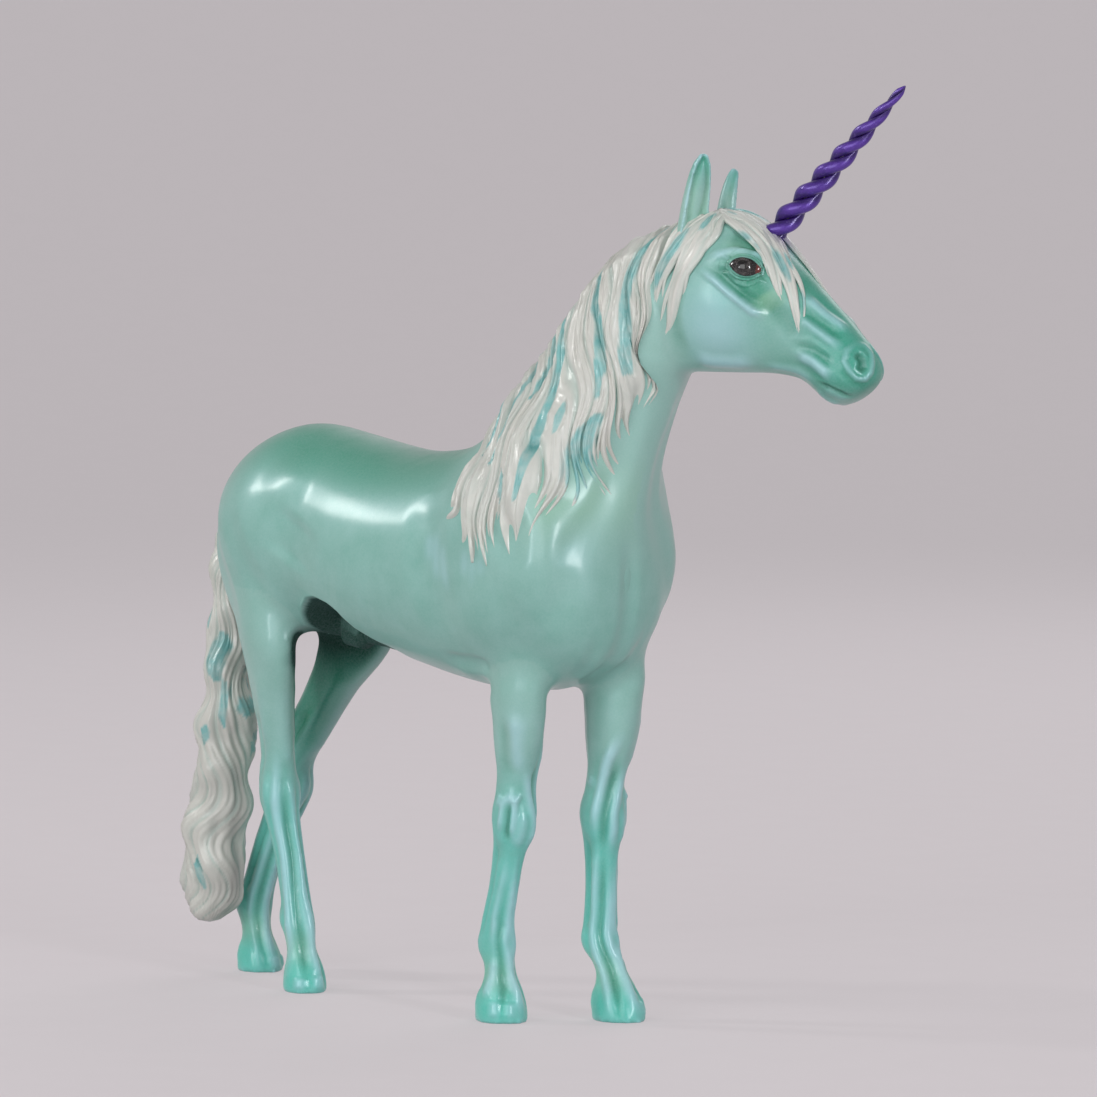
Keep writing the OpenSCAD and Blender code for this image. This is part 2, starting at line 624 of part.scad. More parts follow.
// Ears: cupped leaves, open to the front
function ear_girth(t, ear_w) = ear_w / 2 * mix(1, ear_taper, t) * sqrt(1 - pow(0.98 * t, 6));
function ear_bend(t) = ear_hook * pow(max(t - ear_bend_from, 0) / (1 - ear_bend_from), 2);
module ear(side, ear_u, ear_l, ear_w, lean) {
    base = head_at(ear_u, side * ear_angle, -ear_root);
    up = head_ahead * sin(lean) + head_right * side * sin(ear_splay) + [0, 0, 1];
    axis = up / norm(up);
    open = head_ahead * cos(ear_turn) + head_right * side * sin(ear_turn);
    front = (open - axis * (open * axis)) / norm(open - axis * (open * axis));
    across = cross(axis, front);
    rows = 9;
    columns = 8;
    function outer(i) = ear_girth(i / rows, ear_w);
    function ear_at(i, j, girth) =
        let (t = i / rows, turn = mix(-ear_wrap, ear_wrap, j / columns))
        base + axis * (ear_l + ear_root) * t + front * ear_bend(t)
            + (across * sin(turn) - front * cos(turn)) * girth;
    difference() {
        sheet_loft(
            [for (i = [0:rows]) [for (j = [0:columns]) ear_at(i, j, outer(i))]],
            [for (i = [0:rows]) [for (j = [0:columns])
                ear_at(i, j, max(outer(i) - ear_wall, outer(i) * 0.3))]],
            1);
        head_form(3);
    }
}
module right_ear() {
    color(mint) placed() ear(RIGHT, right_ear_u, right_ear_l, right_ear_w, right_ear_lean);
}
module left_ear() {
    color(mint) placed() ear(LEFT, left_ear_u, left_ear_l, left_ear_w, left_ear_lean);
}

// Legs, seated on the body and pinned
module leg(stations, from, to) {
    last = len(stations) - 1;
    difference() {
        tube_loft([for (u = [0:0.5:last]) leg_ring(curve(stations, u))]);
        body_form(from, to);
        leg_pin(stations, pin_fit);
    }
}
module right_foreleg() {
    color(leg_green) placed() leg(right_fore, 13, 28);
}
module left_foreleg() {
    color(leg_green) placed() leg(left_fore, 13, 28);
}
module right_hindleg() {
    color(leg_green) placed() leg(right_hind, 0, 15);
}
module left_hindleg() {
    color(leg_green) placed() leg(left_hind, 0, 15);
}
module leg_pins() {
    color(wire_grey) placed() for (stations = leg_lists) leg_pin(stations, 0);
}

// Horn: two strands twisted about a wire
horn_axis = head_ahead * cos(horn_rise) + [0, 0, sin(horn_rise)];
horn_side = -head_right;
horn_up = cross(horn_axis, horn_side);
horn_base = head_at(horn_u, 0);
function strand_girth(s) = mix(horn_d, horn_tip_d, pow(clamp(s / horn_l, 0, 1), horn_taper)) / 4;
function strand_ring(s, phase) =
    let (
        turn = phase + 360 * horn_turns * s / horn_l,
        girth = strand_girth(s),
        middle = horn_base + horn_axis * s + (horn_side * cos(turn) + horn_up * sin(turn)) * girth
    )
    [for (j = [0:strand_sides - 1])
        let (a = turn + 360 * (j + 0.5) / strand_sides)
        middle + (horn_side * cos(a) + horn_up * sin(a)) * girth];
module horn_wire(clearance) {
    along(horn_base - horn_axis * horn_pin_depth, horn_axis)
        cylinder(h = horn_pin_depth + horn_pin_l, d = horn_pin_d + 2 * clearance);
}
module horn_strand(phase) {
    difference() {
        tube_loft([for (i = [0:strand_rings])
            strand_ring(mix(-horn_sink, horn_l, i / strand_rings), phase)]);
        head_form(6);
        horn_wire(pin_fit);
    }
}
module horn_strand_a() {
    color(horn_purple) placed() horn_strand(horn_phase);
}
module horn_strand_b() {
    color(horn_purple) placed() horn_strand(horn_phase + 180);
}
module horn_pin() {
    color(wire_grey) placed() horn_wire(0);
}

// Mane: locks that fall from the crest over the right side
function mane_low_share(u) = smooth((u - mane_from_u) / (mane_full_u - mane_from_u));
function mane_poll_share(u) = smooth((u - mane_full_u) / (mane_to_u - mane_full_u));
function mane_fall(u) =
    mix(mix(mane_fall_low, mane_fall_full, mane_low_share(u)), mane_fall_poll, mane_poll_share(u));
function mane_sweep(u) = mane_drift * mane_low_share(u) * mix(1, 0.25, mane_poll_share(u));
function mane_swell(u) = mix(0.35, 1, smooth((u - mane_from_u) / 3));
module mane_panel(first, last) {
    rows = 12;
    columns = mane_locks * 6;
    function lock(j) = abs(sin(180 * mane_locks * j / columns));
    function hair_at(i, j, thick) =
        let (
            t = i / rows,
            root = mix(first, last, j / columns),
            angle = mix(mane_over, mane_fall(root) * mix(mane_notch, 1, lock(j)), t),
            body_u = root - mane_sweep(root) * pow(t, 1.2)
        )
        body_at(body_u, angle,
            hair_gap + thick * mane_swell(root) * mix(1, 0.4, t) * mix(0.55, 1, lock(j)));
    sheet_loft(
        [for (i = [0:rows]) [for (j = [0:columns]) hair_at(i, j, mane_t)]],
        [for (i = [0:rows]) [for (j = [0:columns]) hair_at(i, j, 0)]],
        1);
}
function mane_part(i) = mix(mane_from_u, mane_to_u, i / 4);
module mane_poll_locks() {
    color(hair_white) placed() mane_panel(mane_part(3), mane_part(4));
}
module mane_upper_locks() {
    color(hair_white) placed() mane_panel(mane_part(2), mane_part(3));
}
module mane_middle_locks() {
    color(hair_white) placed() mane_panel(mane_part(1), mane_part(2));
}
module mane_lower_locks() {
    color(hair_white) placed() mane_panel(mane_part(0), mane_part(1));
}

// Forelock, parted round the horn
module forelock() {
    rows = 10;
    columns = 24;
    function spread(j) = mix(-1, 1, j / columns);
    function reach(v) = mix(forelock_short, forelock_long, smooth((abs(v) - 0.12) / 0.38))
        * mix(1, 0.55, smooth((abs(v) - 0.6) / 0.4));
    function notch(v) = mix(0.8, 1, abs(sin(180 * forelock_locks * v)));
    function hair_at(i, j, thick) =
        let (t = i / rows, v = spread(j))
        head_at(forelock_u + reach(v) * notch(v) * t, v * mix(forelock_root, forelock_fan, t),
            hair_gap + thick * mix(1, 0.4, t) * notch(v));
    color(hair_white) placed() sheet_loft(
        [for (i = [0:rows]) [for (j = [0:columns]) hair_at(i, j, forelock_t)]],
        [for (i = [0:rows]) [for (j = [0:columns]) hair_at(i, j, 0)]],
        -1);
}

// The lock that falls behind the right cheek
module cheek_lock() {
    rows = 14;
    columns = 8;
    function hair_at(i, j, thick) =
        let (
            t = i / rows,
            v = mix(-1, 1, j / columns),
            middle = mix(cheek_lock_top, cheek_lock_end, t)
        )
        head_at(middle[0] + v * cheek_lock_w * mix(1, 0.25, pow(t, 2)), middle[1],
            hair_gap + thick * mix(0.5, 1, 1 - v * v) * mix(1, 0.5, t));
    color(hair_white) placed() sheet_loft(
        [for (i = [0:rows]) [for (j = [0:columns]) hair_at(i, j, mane_t)]],
        [for (i = [0:rows]) [for (j = [0:columns]) hair_at(i, j, 0)]],
        1);
}

// Tail
tail_root = [-rump_x + 0.4, 0, dock_h - 4.6];
tail_wire_dir = [-cos(tail_wire_rise), 0, sin(tail_wire_rise)];
// Stations are [height, ahead, left, depth, width]
tail_stations = [
    [dock_h - 1, -rump_x + 1.4, 0, 1.8, 1.8],
    [dock_h - 2.5, -rump_x - 0.6, 0, 2.6, 2.4],
    [dock_h - 6.5, -rump_x - 1.7, -0.1, 2.4, 2.6],
    [dock_h - 12, -rump_x - 1.7, -0.3, tail_d * 0.42, tail_w * 0.63],
    [dock_h - 20, -rump_x - 1.5, -0.5, tail_d * 0.6, tail_w * 0.85],
    [dock_h - 28, -rump_x - 1.9, tail_swing * 0.8, tail_d * 0.78, tail_w * 0.94],
    [dock_h - 35.5, -rump_x - 3.2, tail_swing, tail_d, tail_w],
    [tail_tip_h + 4, -rump_x - 3.3, tail_swing, tail_d * 0.9, tail_w * 0.9],
    [tail_tip_h + 1.6, -rump_x - 3.7, tail_swing, tail_d * 0.68, tail_w * 0.7],
    [tail_tip_h, -rump_x - 4.2, tail_swing, tail_d * 0.25, tail_w * 0.3]
];
function tail_ring(s) =
    [for (j = [0:tail_sides - 1])
        let (a = -360 * j / tail_sides, groove = mix(0.88, 1, abs(cos(a * 4 + s[0] * 6))))
        [s[1] + s[3] / 2 * cos(a) * groove, s[2] + s[4] / 2 * sin(a) * groove, s[0]]];
module tail_hair() {
    last = len(tail_stations) - 1;
    color(hair_white) placed() difference() {
        tube_loft([for (i = [0:tail_rings]) tail_ring(curve(tail_stations, i * last / tail_rings))]);
        body_form(0, 8);
        tail_pin(pin_fit);
    }
}
module tail_wire() {
    color(wire_grey) placed() tail_pin(0);
}

// The part stands with its origin under the middle of its box
module placed() {
    translate([-origin_x, -origin_y, 0]) children();
}
body_right_shell();
body_left_shell();
head();
neck_dowel();
right_ear();
left_ear();
right_eye();
left_eye();
right_foreleg();
left_foreleg();
right_hindleg();
left_hindleg();
leg_pins();
horn_strand_a();
horn_strand_b();
horn_pin();
mane_poll_locks();
mane_upper_locks();
mane_middle_locks();
mane_lower_locks();
forelock();
cheek_lock();
tail_hair();
tail_wire();
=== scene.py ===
"""Painted unicorn figurine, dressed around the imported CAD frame.

All modelling is in millimetres in the animal's own frame (x ahead, y left, z up, x = 0 at
mid-barrel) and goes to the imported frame's metres when a piece is made.
"""
import math
import random

import bmesh
import bpy
import numpy as np
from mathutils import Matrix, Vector
from mathutils.bvhtree import BVHTree


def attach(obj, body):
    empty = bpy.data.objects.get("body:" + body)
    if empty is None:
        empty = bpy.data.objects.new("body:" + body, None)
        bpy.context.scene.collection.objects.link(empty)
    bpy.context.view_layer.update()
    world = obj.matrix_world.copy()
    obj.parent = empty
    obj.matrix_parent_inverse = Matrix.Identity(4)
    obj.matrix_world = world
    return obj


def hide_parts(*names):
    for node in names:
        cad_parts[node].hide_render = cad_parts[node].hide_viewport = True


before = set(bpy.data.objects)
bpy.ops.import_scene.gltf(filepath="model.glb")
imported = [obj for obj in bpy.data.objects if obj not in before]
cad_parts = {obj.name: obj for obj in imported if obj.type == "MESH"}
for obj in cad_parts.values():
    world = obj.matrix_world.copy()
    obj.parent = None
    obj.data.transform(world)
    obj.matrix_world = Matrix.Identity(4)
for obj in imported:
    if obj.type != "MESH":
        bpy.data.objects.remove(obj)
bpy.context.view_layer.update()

MM = 0.001
ORIGIN = np.array((10.4, 1.2, 0.0))
POLL = np.array((35.0, 5.0, 75.0))
HEADING = math.radians(21)
AHEAD = np.array((math.cos(HEADING), math.sin(HEADING), 0.0))
RIGHT = np.array((math.sin(HEADING), -math.cos(HEADING), 0.0))
UP = np.array((0.0, 0.0, 1.0))
BODY = "root"

SKIN_VOXEL = 0.32
FORM_ROUNDS, BODY_ROUNDS = 30, 200
LEGS = ("right_foreleg", "left_foreleg", "right_hindleg", "left_hindleg")
SKIN_NODES = ("body_right_shell", "body_left_shell", "head") + LEGS
SHELLS = SKIN_NODES[:2]
WIRE_NODES = ("neck_dowel", "leg_pins", "horn_pin", "tail_wire")
rng = random.Random(11)

# A sculpted stroke fades out at this many radii, and over this share of its length to this share of its height
MARK_REACH, MARK_TAPER, MARK_END = 1.7, 0.2, 0.15
SPLINE_STEPS = 12
# Each round of smoothing draws points in by this share, and may push them back out by this one
DRAW_IN, PUSH_OUT = 0.5, 0.53


# Small maths
def ramp(x, low, high):
    t = np.clip((x - low) / (high - low), 0, 1)
    return t * t * (3 - 2 * t)


def unit(v):
    v = np.asarray(v, float)
    return v / np.maximum(np.linalg.norm(v, axis=-1, keepdims=True), 1e-9)


def head_point(ahead, right, up):
    return POLL + ahead * AHEAD + right * RIGHT + up * UP


def head_local(co):
    d = co - POLL
    return np.stack((d @ AHEAD, d @ RIGHT, d[:, 2]), 1)


def to_path(points, path):
    """How far each point lies from a polyline, and its share along it."""
    path = np.asarray(path, float)
    spans = np.linalg.norm(np.diff(path, axis=0), axis=1)
    starts = np.concatenate(((0,), np.cumsum(spans)))
    near = np.full(len(points), 1e9)
    share = np.zeros(len(points))
    for a, b, start, span in zip(path[:-1], path[1:], starts, spans):
        t = np.clip((points - a) @ (b - a) / (span * span), 0, 1)
        d = np.linalg.norm(points - a - t[:, None] * (b - a), axis=1)
        closer = d < near
        near[closer] = d[closer]
        share[closer] = (start + t[closer] * span) / starts[-1]
    return near, share


def mark(points, path, radius, depth):
    """The height of a soft stroke along a path: a ridge where depth is above 0, a groove below."""
    if len(path) == 1:
        d, ends = np.linalg.norm(points - np.asarray(path[0], float), axis=1), 1.0
    else:
        d, share = to_path(points, path)
        ends = np.clip(np.minimum(share, 1 - share) / MARK_TAPER, 0, 1) * (1 - MARK_END) + MARK_END
    return depth * ends * np.clip(1 - (d / (MARK_REACH * radius)) ** 2, 0, 1) ** 2


def spline(points, count):
    """A smooth curve through the points, at evenly spread places."""
    p = np.asarray(points, float)
    p = np.concatenate((2 * p[:1] - p[1:2], p, 2 * p[-1:] - p[-2:-1]))
    dense = []
    for i in range(1, len(p) - 2):
        a, b, c, d = p[i - 1 : i + 3]
        for t in np.linspace(0, 1, SPLINE_STEPS, endpoint=i == len(p) - 3):
            dense.append(0.5 * (2 * b + (c - a) * t + (2 * a - 5 * b + 4 * c - d) * t * t
                                + (3 * b - a - 3 * c + d) * t ** 3))
    dense = np.array(dense)
    run = np.concatenate(((0,), np.cumsum(np.linalg.norm(np.diff(dense, axis=0), axis=1))))
    at = np.linspace(0, run[-1], count)
    return np.stack([np.interp(at, run, dense[:, k]) for k in range(p.shape[1])], 1)


# Meshes
def node_mesh(name, grow=0.0):
    """A CAD node's points, in millimetres, and its triangles."""
    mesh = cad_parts[name].data
    co = np.empty(len(mesh.vertices) * 3)
    mesh.vertices.foreach_get("co", co)
    co = co.reshape(-1, 3) / MM + ORIGIN
    faces = np.array([p.vertices[:] for p in mesh.polygons])
    if grow:
        corner = co[faces]
        flat = np.cross(corner[:, 1] - corner[:, 0], corner[:, 2] - corner[:, 0])
        keys = {}
        where = [keys.setdefault(tuple(k), len(keys)) for k in np.round(co * 1000).astype(int)]
        total = np.zeros((len(keys), 3))
        np.add.at(total, np.array(where)[faces].ravel(), np.repeat(flat, 3, axis=0))
        co = co + grow * unit(total)[where]
    return co, faces


def ball(middle, radii, axes, rows=24, sides=32):
    """A closed ellipsoid with its poles along the third axis."""
    co, faces = [], []
    for i in range(1, rows):
        a = math.pi * i / rows
        for j in range(sides):
            b = 2 * math.pi * j / sides
            co.append((math.sin(a) * math.cos(b), math.sin(a) * math.sin(b), math.cos(a)))
    top, low = len(co), len(co) + 1
    co = np.array(co + [(0, 0, 1), (0, 0, -1)]) * radii
    for j in range(sides):
        k = (j + 1) % sides
        faces.append((top, j, k))
        for i in range(rows - 2):
            faces.append((i * sides + j, (i + 1) * sides + j, (i + 1) * sides + k, i * sides + k))
        faces.append((low, (rows - 2) * sides + k, (rows - 2) * sides + j))
    return middle + co @ np.array(axes), faces


def grid_faces(rows, columns, start=0, wrap=False, flip=False):
    faces = []
    for i in range(rows - 1):
        for j in range(columns if wrap else columns - 1):
            k = (j + 1) % columns
            quad = (start + i * columns + j, start + i * columns + k, start + (i + 1) * columns + k,
                    start + (i + 1) * columns + j)
            faces.append(quad[::-1] if flip else quad)
    return faces


def tube_faces(rows, columns):
    """The faces of a tube of rings, closed at both ends."""
    ends = [tuple(range(columns - 1, -1, -1)), tuple((rows - 1) * columns + j for j in range(columns))]
    return grid_faces(rows, columns, wrap=True) + ends


def work_mesh(parts):
    co = np.concatenate([p[0] for p in parts])
    faces, start = [], 0
    for points, polys in parts:
        faces += [[int(v) + start for v in f] for f in polys]
        start += len(points)
    mesh = bpy.data.meshes.new("work")
    mesh.from_pydata(co.tolist(), [], faces)
    return mesh


def remesh(parts, voxel):
    """One closed quad skin over all the parts, as a mesh: the largest island of the result."""
    ob = bpy.data.objects.new("work", work_mesh(parts))
    bpy.context.scene.collection.objects.link(ob)
    change = ob.modifiers.new("voxels", "REMESH")
    change.mode, change.voxel_size = "VOXEL", voxel
    made = bpy.data.meshes.new_from_object(ob.evaluated_get(bpy.context.evaluated_depsgraph_get()))
    bpy.data.objects.remove(ob)
    co, edges = coords(made), edge_pairs(made)
    label = np.arange(len(co))
    while True:
        low = np.minimum(label[edges[:, 0]], label[edges[:, 1]])
        new = label.copy()
        np.minimum.at(new, edges[:, 0], low)
        np.minimum.at(new, edges[:, 1], low)
        new = new[new]
        if (new == label).all():
            break
        label = new
    span = {k: np.prod(np.ptp(co[label == k], axis=0)) for k in np.unique(label)}
    keep = label == max(span, key=span.get)
    move = np.cumsum(keep) - 1
    faces = [[int(move[v]) for v in p.vertices] for p in made.polygons if keep[p.vertices[0]]]
    clean = bpy.data.meshes.new("skin")
    clean.from_pydata(co[keep].tolist(), [], faces)
    return clean


def coords(mesh):
    co = np.empty(len(mesh.vertices) * 3)
    mesh.vertices.foreach_get("co", co)
    return co.reshape(-1, 3)


def set_coords(mesh, co):
    mesh.vertices.foreach_set("co", np.asarray(co, np.float32).ravel())
    mesh.update()


def edge_pairs(mesh):
    e = np.empty(len(mesh.edges) * 2, int)
    mesh.edges.foreach_get("vertices", e)
    return e.reshape(-1, 2)


def normals(mesh):
    n = np.empty(len(mesh.vertices) * 3)
    mesh.vertex_normals.foreach_get("vector", n)
    return n.reshape(-1, 3)


def graph(mesh):
    """A mesh's points, its edges, and how many edges meet at each point."""
    co, edges = coords(mesh), edge_pairs(mesh)
    return co, edges, np.maximum(np.bincount(edges.ravel(), minlength=len(co)), 1)


def spread(values, edges, degree):
    """The mean of each point's neighbours."""
    n, (a, b) = len(degree), edges.T
    if values.ndim == 1:
        return (np.bincount(a, values[b], n) + np.bincount(b, values[a], n)) / degree
    return np.stack([spread(values[:, k], edges, degree) for k in range(values.shape[1])], 1)


def blur(values, edges, degree, rounds):
    for _ in range(rounds):
        values = spread(values, edges, degree)
    return values


def relax(mesh, rounds, weight=1.0, keep_size=True):
    """Smooths a mesh; with keep_size each round pushes back out what it drew in."""
    co, edges, degree = graph(mesh)
    w = weight[:, None] if isinstance(weight, np.ndarray) else weight
    for _ in range(rounds):
        co = co + DRAW_IN * w * (spread(co, edges, degree) - co)
        if keep_size:
            co = co - PUSH_OUT * w * (spread(co, edges, degree) - co)
    set_coords(mesh, co)


def iron(mesh, rounds, weight):
    """Takes the CAD's facets out of broad forms: smooths far, then gives back the broad part of the loss."""
    co, edges, degree = graph(mesh)
    relax(mesh, rounds, weight, keep_size=False)
    low, n = coords(mesh), normals(mesh)
    lost = np.einsum("ij,ij->i", co - low, n)
    for _ in range(rounds):
        lost = lost + DRAW_IN * weight * (spread(lost, edges, degree) - lost)
    set_coords(mesh, low + n * lost[:, None])


def refine(mesh, inside):
    """Halves the edges of the faces that lie in a zone."""
    bm = bmesh.new()
    bm.from_mesh(mesh)
    chosen = inside(coords(mesh))
    bm.verts.ensure_lookup_table()
    edges = [e for e in bm.edges if chosen[e.verts[0].index] and chosen[e.verts[1].index]]
    bmesh.ops.subdivide_edges(bm, edges=edges, cuts=1, use_grid_fill=True, smooth=0.0)
    bm.to_mesh(mesh)
    bm.free()


def tree_of(mesh):
    return BVHTree.FromPolygons(coords(mesh).tolist(), [p.vertices[:] for p in mesh.polygons])


def add_values(mesh, values):
    for name, v in values.items():
        mesh.attributes.new(name, "FLOAT", "POINT").data.foreach_set("value", np.asarray(v, np.float32))


def piece(name, co, faces, material, nodes, values=None, corner_normals=None):
    """A finished piece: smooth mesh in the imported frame, riding on the one body."""
    mesh = bpy.data.meshes.new(name)
    mesh.from_pydata(((np.asarray(co) - ORIGIN) * MM).tolist(), [], faces)
    mesh.update()
    mesh.polygons.foreach_set("use_smooth", np.ones(len(mesh.polygons), bool))
    if values:
        add_values(mesh, values)
    if corner_normals is not None:
        mesh.normals_split_custom_set(corner_normals)
    mesh.materials.append(material)
    ob = bpy.data.objects.new(name, mesh)
    bpy.context.scene.collection.objects.link(ob)
    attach(ob, BODY)
    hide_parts(*nodes)
    return ob


# Eyes: where they sit and how the lids open
EYE_PLACE = (5.42, 3.93, -5.08)
EYE_RADII = np.array((1.62, 1.2, 1.2))
LID_UP, LID_LOW, LID_HALF = 0.86, 0.8, 1.5
LID_THICK = 0.11
# Folds of the lids: distance from the slit, spread, height
LID_FOLDS = [(0.24, 0.08, -0.08), (0.42, 0.09, 0.11), (0.62, 0.09, -0.11), (0.84, 0.1, 0.13), (1.08, 0.12, -0.08)]


def eye_frame(side):
    """Middle and axes (along the slit, up across it, outward) of one eye."""
    out = unit(0.3 * AHEAD + 0.94 * side * RIGHT + 0.14 * UP)
    along = unit(AHEAD - 0.09 * UP - (AHEAD - 0.09 * UP) @ out * out)
    across = np.cross(out, along) * side
    across = across if across[2] > 0 else -across
    return head_point(EYE_PLACE[0], side * EYE_PLACE[1], EYE_PLACE[2]), np.array((along, across, out))


EYES = {"right": 1, "left": -1}


def lid_gap(s, t):
    """Below 0 inside the slit between the lids, and above it the distance outside."""
    bow = np.clip(1 - (np.abs(s) / LID_HALF) ** 2.2, 0, 1)
    tilt = t + 0.07 * s
    return np.maximum(np.maximum(tilt - LID_UP * bow ** 0.8, -tilt - LID_LOW * bow), np.abs(s) - LID_HALF)


# Sculpted marks. Body marks are (x, z) seen from the side and go on both sides
BODY_MARKS = [
    ([(13, 51), (18, 46), (24, 39)], 3.2, 0.3),
    ([(11.5, 49), (12.5, 42), (14.5, 36)], 2.2, -0.32),
    ([(16.5, 55), (21, 49), (26, 43)], 1.9, -0.3),
    ([(18.5, 37.5)], 3.2, 0.35),
    ([(11.5, 33.5), (14.8, 33.3), (18.0, 33.2)], 0.6, -0.4),
    ([(11.5, 32.2), (14.8, 31.9), (17.0, 31.8)], 0.9, 0.2),
    ([(-6.4, 46), (-8.5, 41.5)], 2.8, -0.5),
    ([(-9.5, 49.3)], 2.2, 0.3),
    ([(-6.5, 39), (-9.5, 37.4), (-12.5, 35.4)], 1.4, -0.18),
    ([(-22.5, 47), (-20.6, 41), (-18, 34)], 1.3, -0.3),
    ([(-17.5, 47), (-14.5, 41), (-12.5, 36)], 1.2, -0.2),
    ([(-16, 47)], 4.5, 0.22),
    ([(27.5, 49), (26.6, 43), (23.5, 37.5)], 1.4, 0.22),
    ([(28.6, 47), (28.4, 41), (26.4, 36.6)], 0.8, -0.22),
    ([(32, 60.5), (30.6, 56.7), (29.8, 52.6), (29.3, 48.4), (28.6, 44)], 0.7, -0.35),
    ([(31.2, 63), (27, 55), (23, 48)], 2.3, 0.3),
    ([(28.2, 66), (24.5, 60), (20, 55)], 1.6, -0.2),
    ([(3, 38), (-2, 40)], 4.0, 0.15),
]
# Marks on the middle line, as (x, y, z)
MIDDLE_MARKS = [
    ([(29.8, 0, 45), (29.6, 0, 40), (27.6, 0, 34), (23, 0, 31)], 0.9, -0.4),
    ([(28.4, -3.4, 40), (27.4, -2.6, 35), (24.5, -1.8, 32)], 0.7, -0.22),
    ([(28.4, 3.4, 40), (27.4, 2.6, 35), (24.5, 1.8, 32)], 0.7, -0.22),
    ([(-25.2, 0, 43), (-24, 0, 38), (-20, 0, 35)], 1.1, -0.5),
    ([(-10, 0, 34.4), (-6.5, 0, 33.6)], 1.5, 0.9),
    ([(0, 0, 32.4), (20, 0, 30.4)], 1.2, -0.12),
]
# Head marks are (ahead, right, up) from the poll and go on both sides
CREST_PATH = [(1.4, 4.66, -5.3), (2.82, 4.8, -6.08), (4.29, 4.86, -7.24), (5.36, 4.68, -8.07), (6.34, 4.31, -8.93),
              (7.54, 3.81, -9.32)]
NOSTRIL_RING = [(15.16, 1.36, -11.82), (15.69, 0.62, -12.04), (16.19, 0.47, -12.69), (16.5, 0.85, -13.46),
                (16.55, 1.29, -14.36), (16.2, 1.76, -15.0), (15.58, 2.29, -14.94), (14.98, 2.55, -14.22),
                (14.5, 2.55, -13.31), (14.6, 2.21, -12.41), (15.16, 1.36, -11.82)]
NOSTRIL_PIT = [(15.37, 1.84, -12.67), (15.88, 1.69, -13.19), (16.0, 1.85, -13.83), (15.75, 2.1, -14.3)]
MOUTH_PATH = [(11.9, 2.19, -15.36), (12.94, 2.43, -15.68), (14.02, 2.29, -16.19), (14.94, 1.48, -16.54)]
HEAD_MARKS = [
    ([(2.05, 4.39, -4.13), (3.44, 4.28, -3.73), (4.73, 3.95, -3.55), (6.27, 3.57, -3.99), (7.02, 3.32, -4.51)],
     0.4, 0.24),
    ([(3.6, 3.4, -1.9), (5.1, 3.2, -2.5), (6.6, 3.0, -3.2)], 0.8, -0.25),
    (CREST_PATH, 0.36, 0.34),
    ([(2.2, 4.6, -4.9), (4.4, 4.8, -6.5), (5.9, 4.4, -7.7), (7.2, 3.9, -8.4)], 0.5, -0.28),
    ([(7.3, 3.8, -8.0), (9.2, 3.3, -9.6), (10.6, 2.9, -11.6)], 0.9, -0.25),
    ([(-0.2, 2.9, -13), (1.4, 2.6, -13.6), (3.8, 2.5, -13.7), (5.6, 2.6, -13.2)], 0.8, 0.2),
    ([(2.6, 4.4, -10.6)], 3.2, 0.25),
    ([(-0.9, 4.1, -5.2), (-1.5, 3.7, -9), (-1.3, 2.8, -12.6)], 0.8, -0.3),
    ([(6.6, 2.0, -14.0), (9.6, 1.9, -14.4), (11.4, 1.9, -15.2)], 0.5, 0.16),
    ([(10.4, 2.2, -7.5), (12.36, 1.81, -9.31), (14.23, 1.19, -10.61)], 0.42, 0.26),
    ([(10.4, 2.6, -8.8), (12.4, 2.2, -10.2), (14.0, 1.9, -11.5)], 0.45, -0.16),
    ([(10.2, 2.95, -11.2), (10.8, 2.8, -9.9), (12.2, 2.6, -10.8), (14.2, 2.3, -12.2)], 0.45, 0.2),
    ([(9.9, 2.7, -12.7), (11.6, 2.63, -13.48), (12.78, 2.72, -14.37), (13.4, 2.72, -14.9)], 0.5, 0.28),
    ([(9.6, 2.9, -11.9), (11.6, 2.8, -12.4), (13.6, 2.7, -13.6)], 0.4, -0.14),
    (NOSTRIL_PIT, 0.36, -0.42),
    (NOSTRIL_RING, 0.26, 0.16),
    ([(14.2, 2.7, -14.2), (15.4, 2.3, -15.3), (16.2, 1.2, -15.6)], 0.35, -0.12),
    (MOUTH_PATH, 0.22, -0.22),
    ([(12.2, 2.3, -15.9), (13.4, 2.2, -16.4), (14.6, 1.5, -16.9)], 0.5, 0.08),
    ([(11.4, 1.6, -15.9), (12.3, 1.2, -16.8), (13.4, 0.9, -17.3)], 0.5, 0.14),
]
# Leg marks: lowest, highest, angle from the front (both sides), spread in degrees, height
CANNON_MARKS = [(118, 18, -0.3), (180, 30, 0.2)]
FORE_MARKS = [(18.4, 20.6, 180, 34, 0.2), (15.0, 16.6, 90, 30, -0.15), (23, 29, 150, 22, -0.2)]
HIND_MARKS = [
    (19.8, 21.8, 180, 30, 0.4), (21.2, 26, 118, 26, -0.5), (21.6, 27, 180, 16, 0.2), (17.8, 20.4, 66, 20, 0.3),
    (19.6, 22, 0, 24, -0.2), (24, 30, 60, 26, 0.24),
]
FOOT_MARKS = [
    (6.0, 8.0, 130, 32, 0.2), (5.4, 7.2, 180, 30, 0.14), (0, 2.4, 180, 16, -0.4), (1.2, 2.8, 150, 20, 0.16),
]
